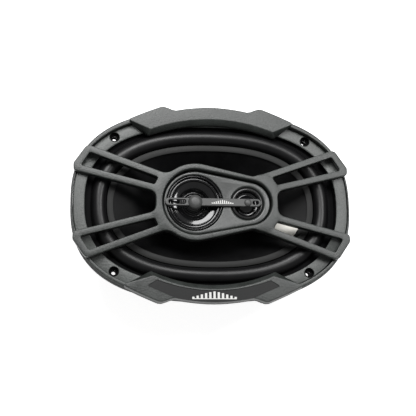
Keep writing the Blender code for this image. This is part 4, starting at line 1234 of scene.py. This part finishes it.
def build_capacitors(looks):
    """Sleeved cans with a crimped neck at one end and a bare end face."""
    for name, node in (("midrange_capacitor", "mid_capacitor"), ("tweeter_can", "tweeter_capacitor")):
        centre, axes, half = node_axes(node)
        length, r = half[0], half[1]
        line = [(0.0, -length + 0.3), (r - 1.2, -length + 0.3), (r - 1.1, -length), (r - 0.5, -length),
                (r, -length + 0.6), (r, length - 3.4), (r - 0.25, length - 3.0), (r - 0.5, length - 2.6),
                (r - 0.25, length - 2.2), (r, length - 1.8), (r, length - 0.6), (r - 0.5, length),
                (r - 1.1, length), (r - 1.2, length - 0.3), (0.0, length - 0.3)]
        can = lathe(name, line, looks["sleeve"], 48, radius=0.12)
        can.data.materials.append(looks["can"])
        for face in can.data.polygons:
            if math.hypot(face.center.x, face.center.y) < (r - 1.15) * MM:  # inside the crimped rim
                face.material_index = 1
        stand_for(put(can, centre, axes[1], axes[0].cross(axes[1])), "frame", node)


# =============================================================== carried over
CARRIED = {
    "pod_back_plate": "pod", "post_nut": "plain_steel", "mid_frame": "bezel", "mid_magnet": "ferrite",
    "mid_voice_coil": "copper", "tweeter_voice_coil": "copper", "tweeter_magnet": "ferrite",
    "voice_coil_former": "kapton", "terminal_rivet_left": "plain_steel",
    "terminal_rivet_right": "plain_steel",
}


def dress_carried(looks):
    """CAD solids that stay, each with its own material."""
    for node, look in CARRIED.items():
        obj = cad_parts[node]
        obj.data.materials.clear()
        obj.data.materials.append(looks[look])


# =================================================================== stage
def camera_turn(tilt, swing, roll):
    """Rotation from the world to the camera: swing about y, then tilt about x, then roll about z."""
    angles = [math.radians(angle) for angle in (tilt, swing, roll)]
    (cx, sx), (cy, sy), (cz, sz) = ((math.cos(t), math.sin(t)) for t in angles)
    about_x = np.array([[1, 0, 0], [0, cx, -sx], [0, sx, cx]])
    about_y = np.array([[cy, 0, sy], [0, 1, 0], [-sy, 0, cy]])
    about_z = np.array([[cz, -sz, 0], [sz, cz, 0], [0, 0, 1]])
    return about_z @ about_x @ about_y


def add_camera():
    """Photo's view, about 15 degrees off the speaker's axis."""
    turn = camera_turn(-12.5, 8.0, 0.83)
    away = np.array([3.8, 3.5, -839.8]) * MM
    face_middle = np.array([0.0, 0.0, 0.088])
    place = -turn.T @ away + face_middle
    data = bpy.data.cameras.new("camera")
    focal_pixels, picture_pixels, sensor = 1000.0, 416.0, 36.0
    data.lens = focal_pixels * sensor / picture_pixels
    data.sensor_width = sensor
    camera = link_object("camera", data)
    rows = [[*turn.T[k], place[k]] for k in range(3)]
    camera.matrix_world = Matrix(rows + [[0.0, 0.0, 0.0, 1.0]])
    bpy.context.scene.camera = camera


def add_light(name, place, size_x, size_y, power):
    """Rectangular softbox turned towards the speaker's front; sizes and places in metres."""
    data = bpy.data.lights.new(name, "AREA")
    data.shape = "RECTANGLE"
    data.size = size_x
    data.size_y = size_y
    data.energy = power
    obj = link_object(name, data)
    obj.location = place
    obj.rotation_euler = (Vector((0.0, 0.0, 0.08)) - Vector(place)).to_track_quat("-Z", "Y").to_euler()


def build_stage():
    """White floor just under the magnet, a pale world and two softboxes."""
    white = (1.0, 1.0, 1.0)
    mat, tree, shader, coords = base_material("floor_paint", 0.85, specular=0.2)
    link_colour(tree, shader, link_noise(tree, coords, 220.0), white, (0.3, 0.86), (0.7, 0.9))
    set_inputs(shader, Emission_Color=(*white, 1.0), Emission_Strength=0.85)
    mesh = bpy.data.meshes.new("floor")
    half, floor_z = 4.0, -0.0003
    corners = ((-half, -half), (half, -half), (half, half), (-half, half))
    mesh.from_pydata([(x, y, floor_z) for x, y in corners], [], [(0, 1, 2, 3)])
    mesh.materials.append(mat)
    floor = link_object("floor", mesh)
    world = bpy.data.worlds.new("studio")
    bpy.context.scene.world = world
    world.use_nodes = True
    set_inputs(world.node_tree.nodes["Background"], Color=(*white, 1.0), Strength=0.2)
    add_light("key_softbox", (-0.12, 0.5, 0.95), 0.6, 0.5, 9.2)
    add_light("fill_softbox", (0.42, 0.2, 0.9), 0.25, 0.25, 2.6)
    bpy.context.scene.view_settings.view_transform = "Standard"


def main():
    add_camera()
    looks = make_looks()
    for build in (build_grille, build_badges, build_front_frame, build_basket, build_gasket, build_motor,
                  build_cone, build_slot_reflection, build_surround, build_spider, build_leads, build_pod,
                  build_phase_bar, build_midrange, build_tweeter, build_terminals, build_capacitors,
                  dress_carried):
        build(looks)
    build_stage()


main()
